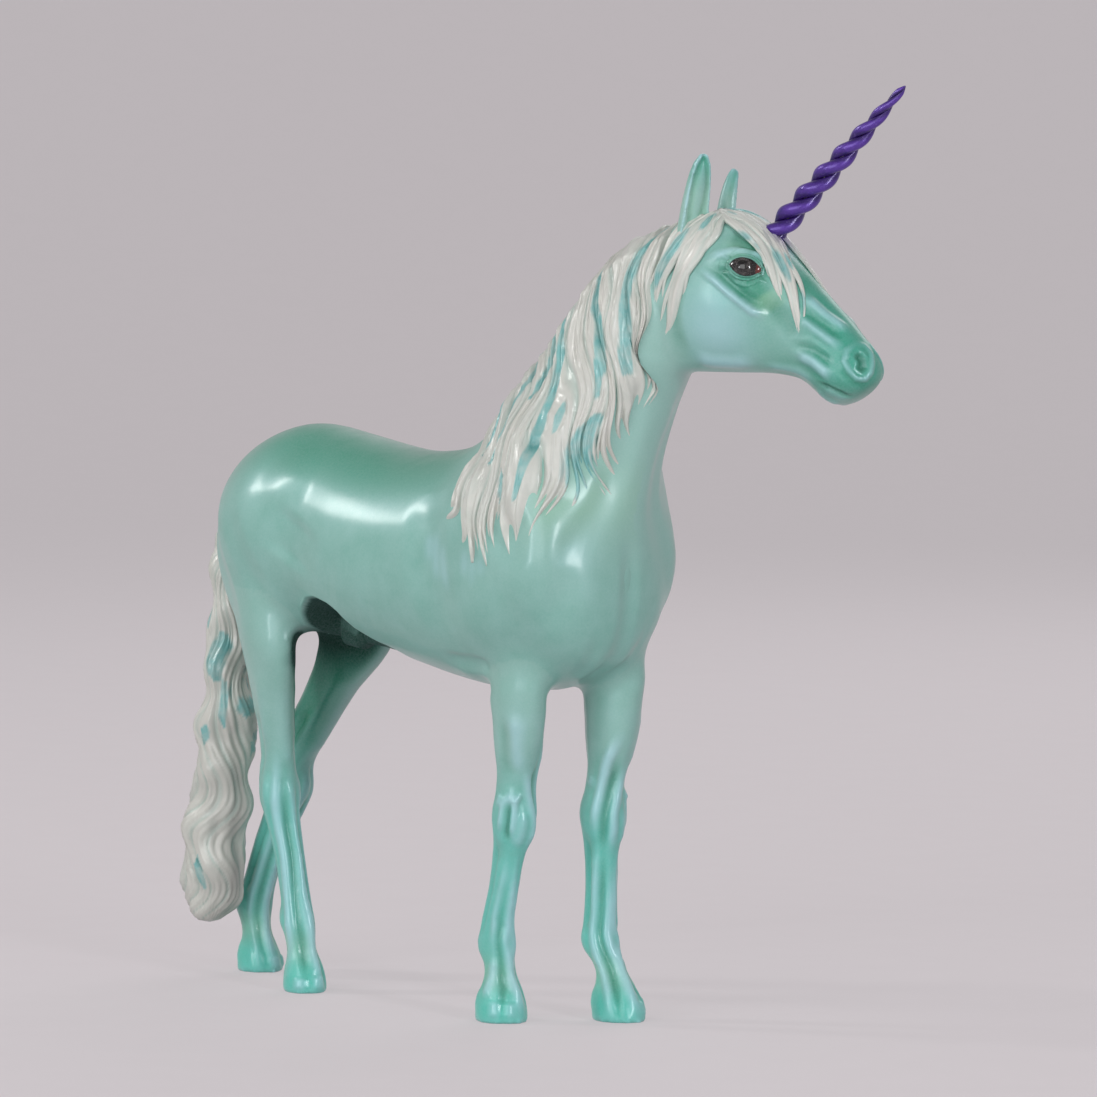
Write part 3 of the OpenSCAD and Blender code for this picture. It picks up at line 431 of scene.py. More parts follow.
# Strokes down the legs: (height, angle from the front) places, half width, height. First the outside's
FORE_OUTER = [
    ([(21.6, 47), (20.2, 69), (19.0, 80), (17.9, 83)], 0.36, 0.24),
    ([(21.6, 47), (20.5, 38), (19.2, 41), (17.2, 48)], 0.32, 0.24),
    ([(21.4, 24), (20.5, 37)], 0.26, 0.16),
    ([(20.6, 57), (19.0, 59), (17.0, 57)], 0.38, -0.3),
    ([(21.2, 88), (20.2, 92)], 0.5, 0.16),
    ([(19.6, 14), (18.0, 20), (16.4, 24)], 0.5, 0.14),
    ([(15.2, 42), (13.0, 42), (11.4, 45), (10.0, 45), (8.7, 42), (7.2, 50)], 0.4, 0.22),
    ([(15.4, 18), (10.6, 17), (8.7, 10), (7.3, 18), (6.3, 14), (4.7, 0), (2.9, -4), (1.0, -6)], 0.42, 0.2),
    ([(15.4, 30), (10.3, 28), (9.0, 27), (7.7, 34), (6.5, 29), (3.7, 28), (1.4, 35), (0.0, 35)], 0.36, -0.28),
    ([(6.0, 46), (4.3, 70), (3.2, 78), (2.2, 78)], 0.5, 0.2),
    ([(2.2, 54), (0.5, 54)], 0.6, 0.16), ([(2.0, 16), (0.5, 20)], 0.6, 0.14),
    ([(29, 40), (26, 46), (23.4, 40)], 0.9, 0.2), ([(29, 64), (26, 68), (23, 60)], 0.7, -0.18),
]
FORE_INNER = [
    ([(26.4, 28), (24.1, 48), (22.5, 56), (19.9, 64), (18.7, 69), (17.6, 72)], 0.46, 0.28),
    ([(23.4, -10), (20.5, 8), (19.3, 16), (17.8, 18), (16.0, 15)], 0.42, 0.24),
    ([(24, 22), (22, 28), (20.1, 36), (18.4, 45), (15.7, 47)], 0.42, -0.32),
    ([(22.6, 96), (21.8, 104)], 0.5, 0.14),
    ([(15.8, 67), (12.7, 66), (10.1, 64), (8.1, 70), (6.1, 75), (4.8, 70), (3.0, 74), (0.6, 66)], 0.46, 0.24),
    ([(15.4, 46), (12.1, 46), (9.4, 45), (7.7, 52), (6.1, 46), (4.6, 43), (2.6, 46), (0.0, 41)], 0.36, -0.32),
    ([(13.6, 4), (10.7, 11), (8.7, 17), (7.4, 20), (5.9, 9), (4.2, 3), (2.6, 9), (0.4, 5)], 0.5, 0.24),
]
HIND_OUTER = [
    ([(22.4, 30), (20.2, 31), (17.8, 33), (15.5, 34), (13.0, 38), (10.9, 43), (8.3, 54), (5.6, 60), (3.5, 82),
      (1.8, 84)], 0.46, 0.26),
    ([(20.6, -6), (17.1, -20), (14.3, -26), (11.6, -18), (8.9, -18), (6.3, -16), (4.0, -20), (1.2, -27)], 0.46, 0.2),
    ([(20.2, 12), (15.8, 6), (11.7, 15), (9.0, 24), (5.5, 22), (3.4, 25), (0.0, 14)], 0.42, -0.28),
    ([(1.6, 37), (0.4, 37)], 0.6, 0.18), ([(1.6, -12), (0.4, -12)], 0.6, 0.14),
]
HIND_INNER = [
    ([(20.4, 50), (14.0, 58), (9.5, 66), (6.6, 68), (3.2, 60), (0.6, 51)], 0.46, 0.22),
    ([(19.4, 32), (14.0, 42), (9.0, 48), (6.0, 50), (4.1, 52), (1.7, 43), (0.0, 40)], 0.4, -0.28),
    ([(9.0, 22), (3.1, 20), (0.6, 14)], 0.46, 0.18),
]
# For each leg: its side, turnout in degrees, marks, the cannon bone's ends and the strokes
FORE_FACTS = (4, FORE_MARKS, 8.6, 16.6, FORE_OUTER, FORE_INNER)
HIND_FACTS = (16, HIND_MARKS, 7.8, 17, HIND_OUTER, HIND_INNER)
LEG_FACTS = {n: (1 if "left" in n else -1,) + (FORE_FACTS if "fore" in n else HIND_FACTS) for n in LEGS}
LEG_TOP = 31
# The flank's lower edge, seen from the side as (x, z): below it the skin folds in under the belly
FLANK_EDGE = [(-12, 36.4), (-9.3, 37.2), (-7.4, 38.3), (-5.5, 38.5), (-3.7, 38.0), (-2.4, 37.2), (-1.2, 35.7),
              (1.0, 34.4), (4.0, 33.6)]
FLANK_FOLD, FLANK_LEFT = 0.74, 0.3
MIDLINE = 0.3


def under_flank(co):
    """How far a point lies in the fold between the belly and the thighs, from 0 to 1; less on the left."""
    x, y, z = co.T
    edge = np.interp(x, *np.transpose(FLANK_EDGE))
    thigh = -8.6 - 0.45 * (38.3 - z)
    fold = ramp(x - thigh, -0.5, 0.5) * (1 - ramp(x, -2, 3.5)) * ramp(edge - z, -0.1, 0.8)
    return fold * np.where(y < MIDLINE, 1, FLANK_LEFT)


def leg_relief(co, side, turnout, marks, cannon_low, cannon_high, outer, inner):
    """Bones, tendons and hoof of one leg: heights of the broad forms and of the strokes."""
    z = co[:, 2]
    steps = np.arange(0, LEG_TOP, 0.5)
    mids = []
    for s in steps:
        near = co[np.abs(z - s) < 0.5]
        mids.append((near[:, :2].min(0) + near[:, :2].max(0)) / 2 if len(near) else mids[-1])
    mids = np.array(mids)
    dx = co[:, 0] - np.interp(z, steps, mids[:, 0])
    dy = (co[:, 1] - np.interp(z, steps, mids[:, 1])) * side
    turn = (np.degrees(np.arctan2(dy, dx)) - turnout + 180) % 360 - 180
    broad = np.zeros(len(co))
    for low, high, at, wide, height in [(cannon_low, cannon_high) + m for m in CANNON_MARKS] + marks + FOOT_MARKS:
        soft = min(1.2, 0.35 * (high - low))
        broad += height * np.exp(-((np.abs(turn) - at) / wide) ** 2) * ramp(z, low - soft, low + soft) * (
            1 - ramp(z, high - soft, high + soft))
    strokes = np.zeros(len(co))
    for way, chosen in ((1, outer), (-1, inner)):
        for places, radius, height in chosen:
            off = [((z - h) / 0.15) ** 2 + (((turn - way * a + 180) % 360 - 180) / 4) ** 2 for h, a in places]
            strokes += mark(co, spline([co[o.argmin()] for o in off], 4 * len(places)), radius, height)
    return broad * ramp(z, 0.05, 0.5), strokes


# Zones of the skin that get a finer mesh
HEAD_BACK, HEAD_LOW = -3.5, 56.5
EYE_ZONE, EYE_DEPTH = 2.7, 2.2
MUZZLE_BACK, MUZZLE_TOP = 11.6, -10.8
FLANK_MIDDLE, FLANK_HALF = np.array((-4, 36)), np.array((7.5, 3.4))
# How far from a join the skin is smoothed: fully up to the first distance, not at all from the second
LEG_JOIN, NECK_JOIN = (0.5, 2.4), (0.5, 2.0)
LEG_JOIN_ROUNDS, NECK_JOIN_ROUNDS, FOLD_ROUNDS, FINE_ROUNDS = 40, 16, 8, 4


def head_zone(co):
    return (head_local(co)[:, 0] > HEAD_BACK) & (co[:, 2] > HEAD_LOW)


def face_zone(co):
    a, r, u = head_local(co).T
    eyes = np.hypot(a - EYE_PLACE[0], u - EYE_PLACE[2]) < EYE_ZONE
    return (eyes & (np.abs(r) > EYE_DEPTH)) | ((a > MUZZLE_BACK) & (u < MUZZLE_TOP))


def flank_zone(co):
    return (np.abs(co[:, ::2] - FLANK_MIDDLE) < FLANK_HALF).all(1)


def open_lids(co):
    """Shapes the lids around each eyeball, in place."""
    for side in EYES.values():
        middle, axes = eye_frame(side)
        q = (co - middle) @ axes.T
        near = (np.linalg.norm(q, axis=1) < 3.2) & (q[:, 2] > -0.3)
        gap = lid_gap(q[near, 0], q[near, 1])
        way = unit(q[near])
        reach = 1 / np.linalg.norm(way / EYE_RADII, axis=1)
        folds = sum(h * np.exp(-((gap - at) / wide) ** 2) for at, wide, h in LID_FOLDS)
        lift = np.where(gap < 0, -0.2, LID_THICK * (1 - 0.35 * ramp(gap, 0.12, 0.5)) + folds)
        goal = way * (reach + lift)[:, None]
        share = (1 - ramp(gap, 0.3, 1.05))[:, None]
        q[near] += share * (goal - q[near])
        q[near] += (1 - share) * way * (0.8 * folds * (1 - ramp(gap, 1.0, 1.6)))[:, None]
        co[near] = middle + q[near] @ axes


# The painted skin
def make_skin():
    """Body, head and legs as one sculpted mesh, with each point's CAD node and the height of its carved strokes."""
    parts = [node_mesh(n) for n in SHELLS] + [node_mesh(n, 0.06) for n in SKIN_NODES[2:]]
    for side in EYES.values():
        middle, axes = eye_frame(side)
        parts.append(ball(middle, EYE_RADII * 1.08, axes))
    mesh = remesh(parts, SKIN_VOXEL)
    iron(mesh, FORM_ROUNDS, 0.3 + 0.7 * ramp(coords(mesh)[:, 2], 3, 4.5))
    co = coords(mesh)
    neck = ramp(head_local(co)[:, 0], -7, -3) * (co[:, 2] > 55)
    iron(mesh, BODY_ROUNDS, ramp(co[:, 2], 30, 37) * (1 - neck))

    refine(mesh, lambda co: head_zone(co) | flank_zone(co) | (co[:, 2] < LEG_TOP - 3))
    refine(mesh, flank_zone)
    refine(mesh, face_zone)
    co = coords(mesh)
    relax(mesh, FINE_ROUNDS, np.where(head_zone(co) | (co[:, 2] < LEG_TOP - 2), 1.0, 0.0))
    co = coords(mesh)
    trees = [BVHTree.FromPolygons(c.tolist(), f.tolist()) for c, f in map(node_mesh, SKIN_NODES)]
    gaps = np.array([[t.find_nearest(p)[3] for t in trees] for p in co.tolist()])
    owner = gaps.argmin(1)
    body_gap = gaps[:, :2].min(1)
    for k, name in enumerate(SKIN_NODES):
        if name in LEGS:
            near = 1 - ramp(np.maximum(gaps[:, k], body_gap), *LEG_JOIN)
            relax(mesh, LEG_JOIN_ROUNDS, near, keep_size=False)
    near = 1 - ramp(np.maximum(gaps[:, SKIN_NODES.index("head")], body_gap), *NECK_JOIN)
    relax(mesh, NECK_JOIN_ROUNDS, near, keep_size=False)

    co = coords(mesh)
    fold = (owner < 2) * under_flank(co)
    co[:, 1] *= 1 - FLANK_FOLD * fold
    set_coords(mesh, co)
    relax(mesh, FOLD_ROUNDS, ramp(np.minimum(fold, 1 - fold), 0.0, 0.1), keep_size=False)
    co = coords(mesh)
    n = normals(mesh)
    height, carved = np.zeros(len(co)), np.zeros(len(co))
    in_body = (owner < 2) | (co[:, 2] > LEG_TOP)
    side_view = co[:, ::2]
    facing = ramp(np.abs(n[:, 1]), 0.12, 0.5) * in_body
    for path, radius, depth in BODY_MARKS:
        height += facing * mark(side_view, path, radius, depth)
    for path, radius, depth in MIDDLE_MARKS:
        height += mark(co, path, radius, depth)
    local = head_local(co)
    local[:, 1] = np.abs(local[:, 1])
    for path, radius, depth in HEAD_MARKS:
        carved += mark(local, path, radius, depth)
    for name, facts in LEG_FACTS.items():
        chosen = (owner == SKIN_NODES.index(name)) & (co[:, 2] < LEG_TOP)
        broad, strokes = leg_relief(co[chosen], *facts)
        height[chosen] += broad
        carved[chosen] += strokes
    co = co + n * (height + carved)[:, None]
    co[:, 2] = np.maximum(co[:, 2], 0)

    open_lids(co)
    set_coords(mesh, co)
    relax(mesh, 1, 0.5)
    return mesh, owner, carved, fold


# Pale brush strokes on the shoulder, below the mane's tips, as (x, z)
TIP_STROKES = [
    ([(18.0, 44.0), (17.8, 41.6)], 0.26), ([(19.0, 43.6), (19.0, 41.0)], 0.22), ([(20.2, 43.4), (20.2, 41.8)], 0.24),
    ([(13.2, 45.4), (13.6, 41.0)], 0.34), ([(14.4, 44.4), (15.0, 40.2)], 0.3), ([(12.2, 45.2), (12.4, 42.8)], 0.3),
]


# Airbrushed strokes on the head, as (ahead, right, up) paths with radius and strength
UNDER_EYE = ([(4.6, 4.6, -7.0), (6.6, 4.2, -7.6), (7.8, 3.8, -8.2)], 1.2, 0.9)
CHEEK_TEAL = ([(1.5, 4.7, -6.6), (4.6, 4.7, -8.3)], 1.3, 0.9)
WARM_FACE = ([(7.2, 4.0, -7.2), (8.2, 3.7, -9.0)], 1.3, 1.0)
WARM_BROW = ([(4.6, 4.0, -3.4)], 1.2, 0.5)
# Height of a carved stroke at which its painted shade (in grooves) and painted highlight (on ridges) are full, and the
# rounds that soften the paint
CARVED_FULL, BEND_BLUR, PAINT_BLUR, OWNER_BLUR = 0.3, 6, 2, 12


def lid_rims(co):
    """The dark line on the edges of the lids."""
    rim = np.zeros(len(co))
    for side in EYES.values():
        middle, axes = eye_frame(side)
        q = (co - middle) @ axes.T
        close = (np.linalg.norm(q, axis=1) < 2.6) & (q[:, 2] > 0)
        rim = np.maximum(rim, close * (1 - ramp(lid_gap(q[:, 0], q[:, 1]), -0.02, 0.14)))
    return rim


def shade_mask(co, n, fold, inner):
    """Painted shade between the thighs: in the flank's fold, under the back of the belly, in the crotch and high on
    the hind legs' inner faces.
    """
    x, y, z = co.T
    hollow = np.maximum(ramp(fold, 0.02, 0.2), under_flank(co) * ramp(z, 31, 32.5))
    hollow = hollow * np.where(y < MIDLINE, 0.55 + 0.45 * ramp(z, 34.2, 36.8), FLANK_LEFT)
    belly = 0.9 * np.exp(-((x + 9) ** 2 / 30 + y ** 2 / 14)) * ramp(-n[:, 2], 0, 0.6)
    belly = belly * ramp(z, 30, 32) * (1 - ramp(z, 39, 42))
    crotch = np.exp(-((x + 10) ** 2 / 9 + (z - 33.2) ** 2 / 2.4)) * ramp(y, -6.4, -4.6) * (1 - ramp(y, 2, 4))
    return np.clip(inner * ramp(z, 27, 34) + hollow + belly, 0, 1) + 1.4 * crotch


def skin_masks(mesh, owner, carved, fold):
    """Where the airbrush went, and where shade and highlights are painted, per point, from 0 to 1."""
    co, edges, degree = graph(mesh)
    n = normals(mesh)
    step = np.linalg.norm(co[edges[:, 0]] - co[edges[:, 1]], axis=1)
    size = (np.bincount(edges[:, 0], step, len(co)) + np.bincount(edges[:, 1], step, len(co))) / degree
    bend = np.einsum("ij,ij->i", spread(co, edges, degree) - co, n) / np.maximum(size, 1e-6) ** 2
    bend = blur(bend, edges, degree, BEND_BLUR)
    x, y, z = co.T
    a, r, u = head_local(co).T
    head = ramp(a, -3, 0.5) * ramp(z, 57, 61)
    legs, hind = owner > 2, owner > 4
    side = np.stack((a, np.abs(r), u), 1)
    spine = ramp(n[:, 2], 0.25, 0.95) * (1 - ramp(x, 10, 18)) * ramp(z, 44, 50) * (1 + 0.5 * ramp(x, -20, -10))
    muzzle = head * ramp(a + 0.16 * (u + 10), 8.8, 13.6)
    nose_top = head * ramp(a, 7.5, 11) * ramp(n @ AHEAD + n[:, 2], 0.5, 1.2)
    socket = head * (1 - ramp(np.hypot((a - 5.6) / 1.35, u + 5.0), 1.2, 2.9)) * ramp(np.abs(r), 1.5, 3)
    under_eye = head * mark(side, *UNDER_EYE)
    cheek = head * (1 - ramp(a, 6, 9.5)) * ramp(np.abs(r), 2, 4) * ramp(-u, 6, 9)
    jaw = head * (ramp(a, 4.5, 9) * ramp(-u, 11.5, 14) + ramp(a, 10.5, 12) * ramp(-u, 15.6, 16.8))
    # Painted shade on the inner faces of the hind legs: dark high up, deep green lower down
    inner = ramp(-np.sign(y - MIDLINE) * n[:, 1] + 0.2 * n[:, 0] * (y < MIDLINE), 0.1, 0.8) * hind
    # Deep green airbrush on the spine, muzzle, nose, eye sockets, under the eyes, jaw and cheeks; on the hind legs'
    # inner faces it is painted shade
    deep = np.clip(0.6 * spine + muzzle + 0.7 * nose_top + 0.75 * socket + under_eye + 0.5 * jaw + 0.2 * cheek
                   + inner * ramp(z, 18, 25), 0, 1)
    # Painted shade under the lips and chin
    lips = head * ramp(a, 10, 12.5) * ramp(-u, 14.4, 16.8)
    shade = np.clip(shade_mask(co, n, fold, inner) + 0.5 * lips, 0, 1)
    low = np.where(hind, 1 - ramp(z, 15, 25), 1 - ramp(z, 16, 26)) * legs
    hoof = (1 - ramp(z, 2.2, 3.6)) * legs
    teal = np.clip(low + 0.3 * muzzle + 0.3 * head * mark(side, *CHEEK_TEAL), 0, 1)
    pale = np.clip(ramp(x, 15, 28) * ramp(z, 36, 50) * (1 - head) + 0.5 * legs * ramp(z, 22, 28), 0, 1)
    blush = np.exp(-np.linalg.norm(co - HORN_FOOT, axis=1) ** 2 / 2.6) * head
    warm = head * (mark(side, *WARM_FACE) + mark(side, *WARM_BROW))
    warm = warm + 0.8 * np.exp(-((x - 27.6) ** 2 / 6 + (z - 49) ** 2 / 12)) * (n[:, 1] < 0)
    warm = warm + 0.7 * legs * np.exp(-((z - 4.4) / 1.6) ** 2)
    # Dark paint on the lid rims, and painted shade in the nostril pits and along the mouth
    dark = np.clip(lid_rims(co) + mark(side, NOSTRIL_PIT, 0.34, 0.45) + mark(side, MOUTH_PATH, 0.2, 0.4), 0, 1)
    free = np.where(legs & (z < LEG_TOP - 2), 1.0, 0.7 * head)
    cut, raised = np.clip(-carved / CARVED_FULL, 0, 1), np.clip(carved / CARVED_FULL, 0, 1)
    # Painted shade in hollows and carved grooves, and a painted highlight on ridges and raised strokes; the pale brush
    # strokes below the mane go in with the highlight
    cavity = np.clip(np.clip(bend * 0.9, 0, 1) * free + cut, 0, 1)
    edge = np.clip(np.clip(-bend * 0.6, 0, 1) * free * (1 - 0.7 * head) + raised, 0, 1)
    for path, radius in TIP_STROKES:
        edge = np.maximum(edge, mark(co[:, ::2], path, radius, 0.9) * (n[:, 1] < -0.2))
    cavity, edge = (blur(v, edges, degree, PAINT_BLUR) for v in (cavity, edge))
    return {"deep": deep, "teal": teal, "pale": pale, "hoof": hoof, "blush": np.clip(blush, 0, 1),
            "warm": np.clip(warm, 0, 1), "cavity": cavity, "edge": edge, "dark": dark, "shade": shade}


def split_skin(mesh, owner, masks, material):
    """Cuts the skin into one closed piece for each CAD node; normals run on across the joins."""
    co, edges, degree = graph(mesh)
    n, count = normals(mesh), len(SKIN_NODES)
    votes = np.stack([(owner == k).astype(float) for k in range(count)], 1)
    owner = blur(votes, edges, degree, OWNER_BLUR).argmax(1)
    polys = [p.vertices[:] for p in mesh.polygons]
    of_face = np.array([np.bincount(owner[list(p)], minlength=count).argmax() for p in polys])
    for k, name in enumerate(SKIN_NODES):
        mine = [polys[i] for i in np.flatnonzero(of_face == k)]
        used = np.unique(np.concatenate([np.array(p) for p in mine]))
        new = {int(v): i for i, v in enumerate(used)}
        faces = [[new[v] for v in p] for p in mine]
        corners = [tuple(n[v]) for p in mine for v in p]
        nxt = {}
        for p in faces:
            for a, b in zip(p, p[1:] + p[:1]):
                nxt[(a, b)] = True
        rim = {b: a for a, b in nxt if (b, a) not in nxt}
        points, extra = co[used], []
        while rim:
            loop = [next(iter(rim))]
            while loop[-1] in rim:
                loop.append(rim.pop(loop[-1]))
            loop = loop[:-1]
            if len(loop) < 3:
                continue
            mid = len(points) + len(extra)
            centre = points[loop].mean(0)
            extra.append((centre, loop[0]))
            for a, b in zip(loop, loop[1:] + loop[:1]):
                faces.append([a, b, mid])
                flat = tuple(unit(np.cross(points[b] - points[a], centre - points[a])))
                corners += [flat] * 3
        values = {m: np.concatenate((v[used], [v[used][e[1]] for e in extra])) for m, v in masks.items()}
        if extra:
            points = np.concatenate((points, [e[0] for e in extra]))
        piece(name + "_skin", points, faces, material, [name], values, corners)


# Hair: flat grooved locks of putty
HORN_FOOT = head_point(7.6, 0.1, -1.9)
# A lock's girth at its root and tip, and the share of its length where it starts to thin
LOCK_ROOT, LOCK_TIP, LOCK_TAPER = 0.7, 0.1, 0.35
GUIDED_POINTS = 36


class Hair:
    """Collects locks, each a tapered ribbon with fine ridges along it, into one piece."""

    def __init__(self):
        self.co, self.faces, self.grooves, self.tones, self.count = [], [], [], [], 0

    def add(self, co, faces, groove, tone):
        self.faces += [[int(v) + self.count for v in f] for f in faces]
        self.co.append(co)
        self.grooves.append(np.broadcast_to(groove, (len(co),)))
        self.tones.append(np.broadcast_to(tone, (len(co),)))
        self.count += len(co)

    def lock(self, path, out, width, thick, ridges):
        """A lock along a path; out points away from what it lies on."""
        n, tone = len(path), rng.random()
        s = np.linspace(0, 1, n)
        ahead = unit(np.gradient(path, axis=0))
        out = unit(out - np.einsum("ij,ij->i", out, ahead)[:, None] * ahead)
        wide = np.cross(ahead, out)
        end = np.clip((s - LOCK_TAPER) / (1 - LOCK_TAPER), 0, 1)
        girth = (LOCK_ROOT + (1 - LOCK_ROOT) * ramp(s, 0, 0.2)) * (LOCK_TIP + (1 - LOCK_TIP) * (1 - end ** 1.7))
        girth = girth * (1 + 0.1 * np.sin(2 * math.pi * (2.3 * s + 3 * tone)))
        across = 5 * ridges + 2
        u = np.linspace(-1, 1, across)
        crown = ((1 - np.abs(u) ** 2.3) ** 0.7)[None, :]
        drift = (9 * tone + 0.9 * np.sin(2 * math.pi * (s + tone)))[:, None]
        fine = 0.5 + 0.5 * np.cos(math.pi * ridges * u[None, :] + drift)
        broad = 0.5 + 0.5 * np.cos(0.45 * math.pi * ridges * u[None, :] - 0.8 * drift + 2 * s[:, None])
        cut = 0.22 * (1 - fine) + 0.24 * (1 - broad)
        under = np.array(((0.75, -0.3), (0.0, -0.42), (-0.75, -0.3)))
        uu = np.concatenate((np.broadcast_to(u, (n, across)), np.broadcast_to(under[:, 0], (n, 3))), 1)
        vv = np.concatenate((crown * (1 - cut), np.broadcast_to(under[:, 1], (n, 3))), 1)
        co = (path[:, None, :] + wide[:, None, :] * (uu * girth[:, None] * width / 2)[..., None]
              + out[:, None, :] * (vv * girth[:, None] ** 0.7 * thick)[..., None])
        # Painted shade: darker in the cuts between ridges and towards the lock's sides, and wholly on the underside
        shade = np.concatenate((np.clip(1.7 * cut + 0.8 * (1 - crown) ** 2, 0, 1), np.ones((n, 3))), 1)
        self.add(co.reshape(-1, 3), tube_faces(n, across + 3), shade.ravel(), tone)

    def finish(self, name, material, node, teal):
        """Makes the piece; teal gives the streaks' paint at each point."""
        co = np.concatenate(self.co)
        blush = np.exp(-np.linalg.norm(co - HORN_FOOT, axis=1) ** 2 / 1.5)
        # The groove values carry the painted shade between the strands
        values = {"groove": np.concatenate(self.grooves), "tone": np.concatenate(self.tones), "teal": teal(co),
                  "blush": blush}
        return piece(name, co, self.faces, material, [node], values)


def streaked(points, streaks):
    """The paint of brushed streaks, each a path with its half width."""
    total = np.zeros(len(points))
    for path, half in streaks:
        d, share = to_path(points, path)
        wide = half * (0.45 + 0.55 * np.clip(4 * np.minimum(share, 1 - share), 0, 1))
        total = np.maximum(total, 1 - ramp(d / wide, 0.7, 1.15))
    return total


def wavy(path, out, size, turns, phase):
    """Swings a path from side to side, more towards its tip."""
    s = np.linspace(0, 1, len(path))
    side = np.cross(unit(np.gradient(path, axis=0)), out)
    swing = size * np.sin(2 * math.pi * (turns * s + phase)) * ramp(s, 0.05, 0.4)
    return path + side * swing[:, None]


def settle(tree, points, lift):
    """Puts points on the skin's right side, lifted off it; returns them with the way out."""
    made, outs = [], []
    for p in points:
        if len(p) == 2:
            hit = tree.ray_cast(Vector((p[0], -40, p[1])), Vector((0, 1, 0)))
        else:
            hit = tree.find_nearest(Vector(p))
        made.append(tuple(hit[0]) if hit[0] else (np.nan,) * 3)
        outs.append(tuple(hit[1]) if hit[0] else (0, -1, 0))
    made, outs = np.array(made), np.array(outs)
    good = ~np.isnan(made[:, 0])
    for k in range(3):
        made[~good, k] = np.interp(np.flatnonzero(~good), np.flatnonzero(good), made[good, k])
    for _ in range(4):
        outs[1:-1] = unit(outs[:-2] + 2 * outs[1:-1] + outs[2:])
        made[1:-1] = made[1:-1] * 0.6 + 0.2 * (made[:-2] + made[2:])
    return made + outs * np.broadcast_to(lift, (len(made),))[:, None], outs


def ripple(u, v, seed):
    """Hand-made unevenness, from about -1 to 1, over two coordinates."""
    draw = random.Random(seed)
    total = 0.0
    for _ in range(7):
        a, b, c = draw.uniform(-1, 1), draw.uniform(-1, 1), draw.uniform(0, 2 * math.pi)
        total = total + np.sin(2 * math.pi * (a * u + b * v) + c)
    return total / 3


# Finer lines and hairs on a strand's width, and their heights
STRAND_LINES, STRAND_HAIRS = 2.7, 6.1
LINE_HIGH, HAIR_HIGH = 0.15, 0.06


def strands(lane, along, seed):
    """Relief of ropy strands: place across the lane, ridge, finer lines, hairs, own draw and shade."""
    index = np.floor(lane).astype(int)
    cell = lane - index - 0.5
    draws = np.array([random.Random(seed * 1000 + int(k)).random() for k in range(index.min(), index.max() + 1)])
    own = draws[index - index.min()]
    ridge = np.clip(1 - np.abs(2 * cell) ** 2.2, 0, 1) ** 0.75
    sway, quiver = ripple(5 * own, 2.2 * along, seed + 1), ripple(9 * own, 3.1 * along, seed + 2)
    lines = 0.5 + 0.5 * np.cos(2 * math.pi * (STRAND_LINES * cell + 3 * own + 0.4 * sway))
    hairs = 0.5 + 0.5 * np.cos(2 * math.pi * (STRAND_HAIRS * cell + 7 * own + 0.6 * quiver))
    return cell, ridge, lines, hairs, own, np.clip(1.15 - ridge - 0.25 * lines, 0, 1)


# Mane guides from root to tip, seen from the side as (x, z), from the poll back to the withers
MANE_GUIDES = [
    [(33.4, 74.0), (33.5, 71), (32.9, 67.5), (32.2, 64.5), (31.4, 60.8)],
    [(31.8, 73.4), (32.0, 70.5), (31.6, 67), (31.8, 63.5), (31.9, 57.4)],
    [(30.4, 72.6), (30.4, 70.4), (30.4, 67.4), (31.5, 63.2), (31.5, 56.4)],
    [(28.4, 71.8), (28.2, 69.6), (28.4, 66.2), (30.2, 61.2), (30.4, 53.8)],
    [(26.6, 70.8), (26.4, 68.2), (27.4, 65.2), (29.4, 61.5), (29.0, 55.0), (29.3, 47.4)],
    [(24.6, 69.0), (24.8, 66.4), (25.8, 62.5), (27.4, 58.5), (27.4, 54.0), (27.8, 47.0)],
    [(22.6, 66.6), (23.0, 64.0), (24.0, 61.0), (24.6, 57.0), (24.8, 51.5), (26.0, 44.2)],
    [(20.8, 64.0), (21.4, 62.0), (22.3, 59.6), (22.2, 55.5), (22.4, 50.5), (23.6, 43.0)],
    [(18.8, 61.0), (19.4, 59.0), (19.8, 56.5), (19.6, 52.6), (20.0, 48.5), (20.4, 42.6)],
    [(16.8, 58.2), (17.6, 56.4), (17.6, 54.0), (17.2, 51.2), (17.2, 48.0), (17.2, 43.2)],
    [(14.8, 55.6), (15.6, 54.2), (15.4, 52.4), (14.8, 50.6), (14.2, 49.4), (14.0, 46.4)],
]
# Teal streaks on the mane as (x, z) paths with their half widths
MANE_STREAKS = [
    ([(30.9, 73.8), (30.9, 72.5), (30.4, 70.9), (30.3, 69.1), (30.5, 66.6), (30.9, 64.4), (31.1, 60.4)], 0.55),
    ([(26.3, 69.7), (26.7, 68), (27.1, 66.4), (28, 65.1), (28.8, 62.6), (29.1, 60.8), (28.9, 58.2)], 0.5),
    ([(29.1, 56.4), (28.3, 55), (27.8, 53.2), (28.1, 50.8), (28.4, 48.8)], 0.8),
    ([(22.2, 66.4), (22.8, 64.6), (23.9, 61.8), (24.3, 58.2), (24.5, 55), (24.4, 51.6), (24.2, 49)], 0.5),
    ([(21.4, 64), (22.6, 62.2), (22.6, 60.4), (22.1, 58)], 0.5),
    ([(20, 62), (20.6, 59.8), (19.8, 57.2), (20, 55), (19.2, 52)], 0.5),
    ([(24, 71), (24, 69.4), (22.2, 67.8)], 0.4),
    ([(17.6, 57.6), (18, 55.4), (17.3, 52.6)], 0.4),
    ([(26.2, 57.6), (26.0, 55.0)], 0.3), ([(21.6, 51.4), (22.0, 48.6)], 0.35),
]
MANE_PARTS = {"mane_poll_locks": (0.3, 3.2), "mane_upper_locks": (3.2, 6.4), "mane_middle_locks": (6.4, 8.9),
              "mane_lower_locks": (8.9, 10)}
MANE_POINTS, MANE_ROWS, MANE_COLUMNS = 30, 110, 34
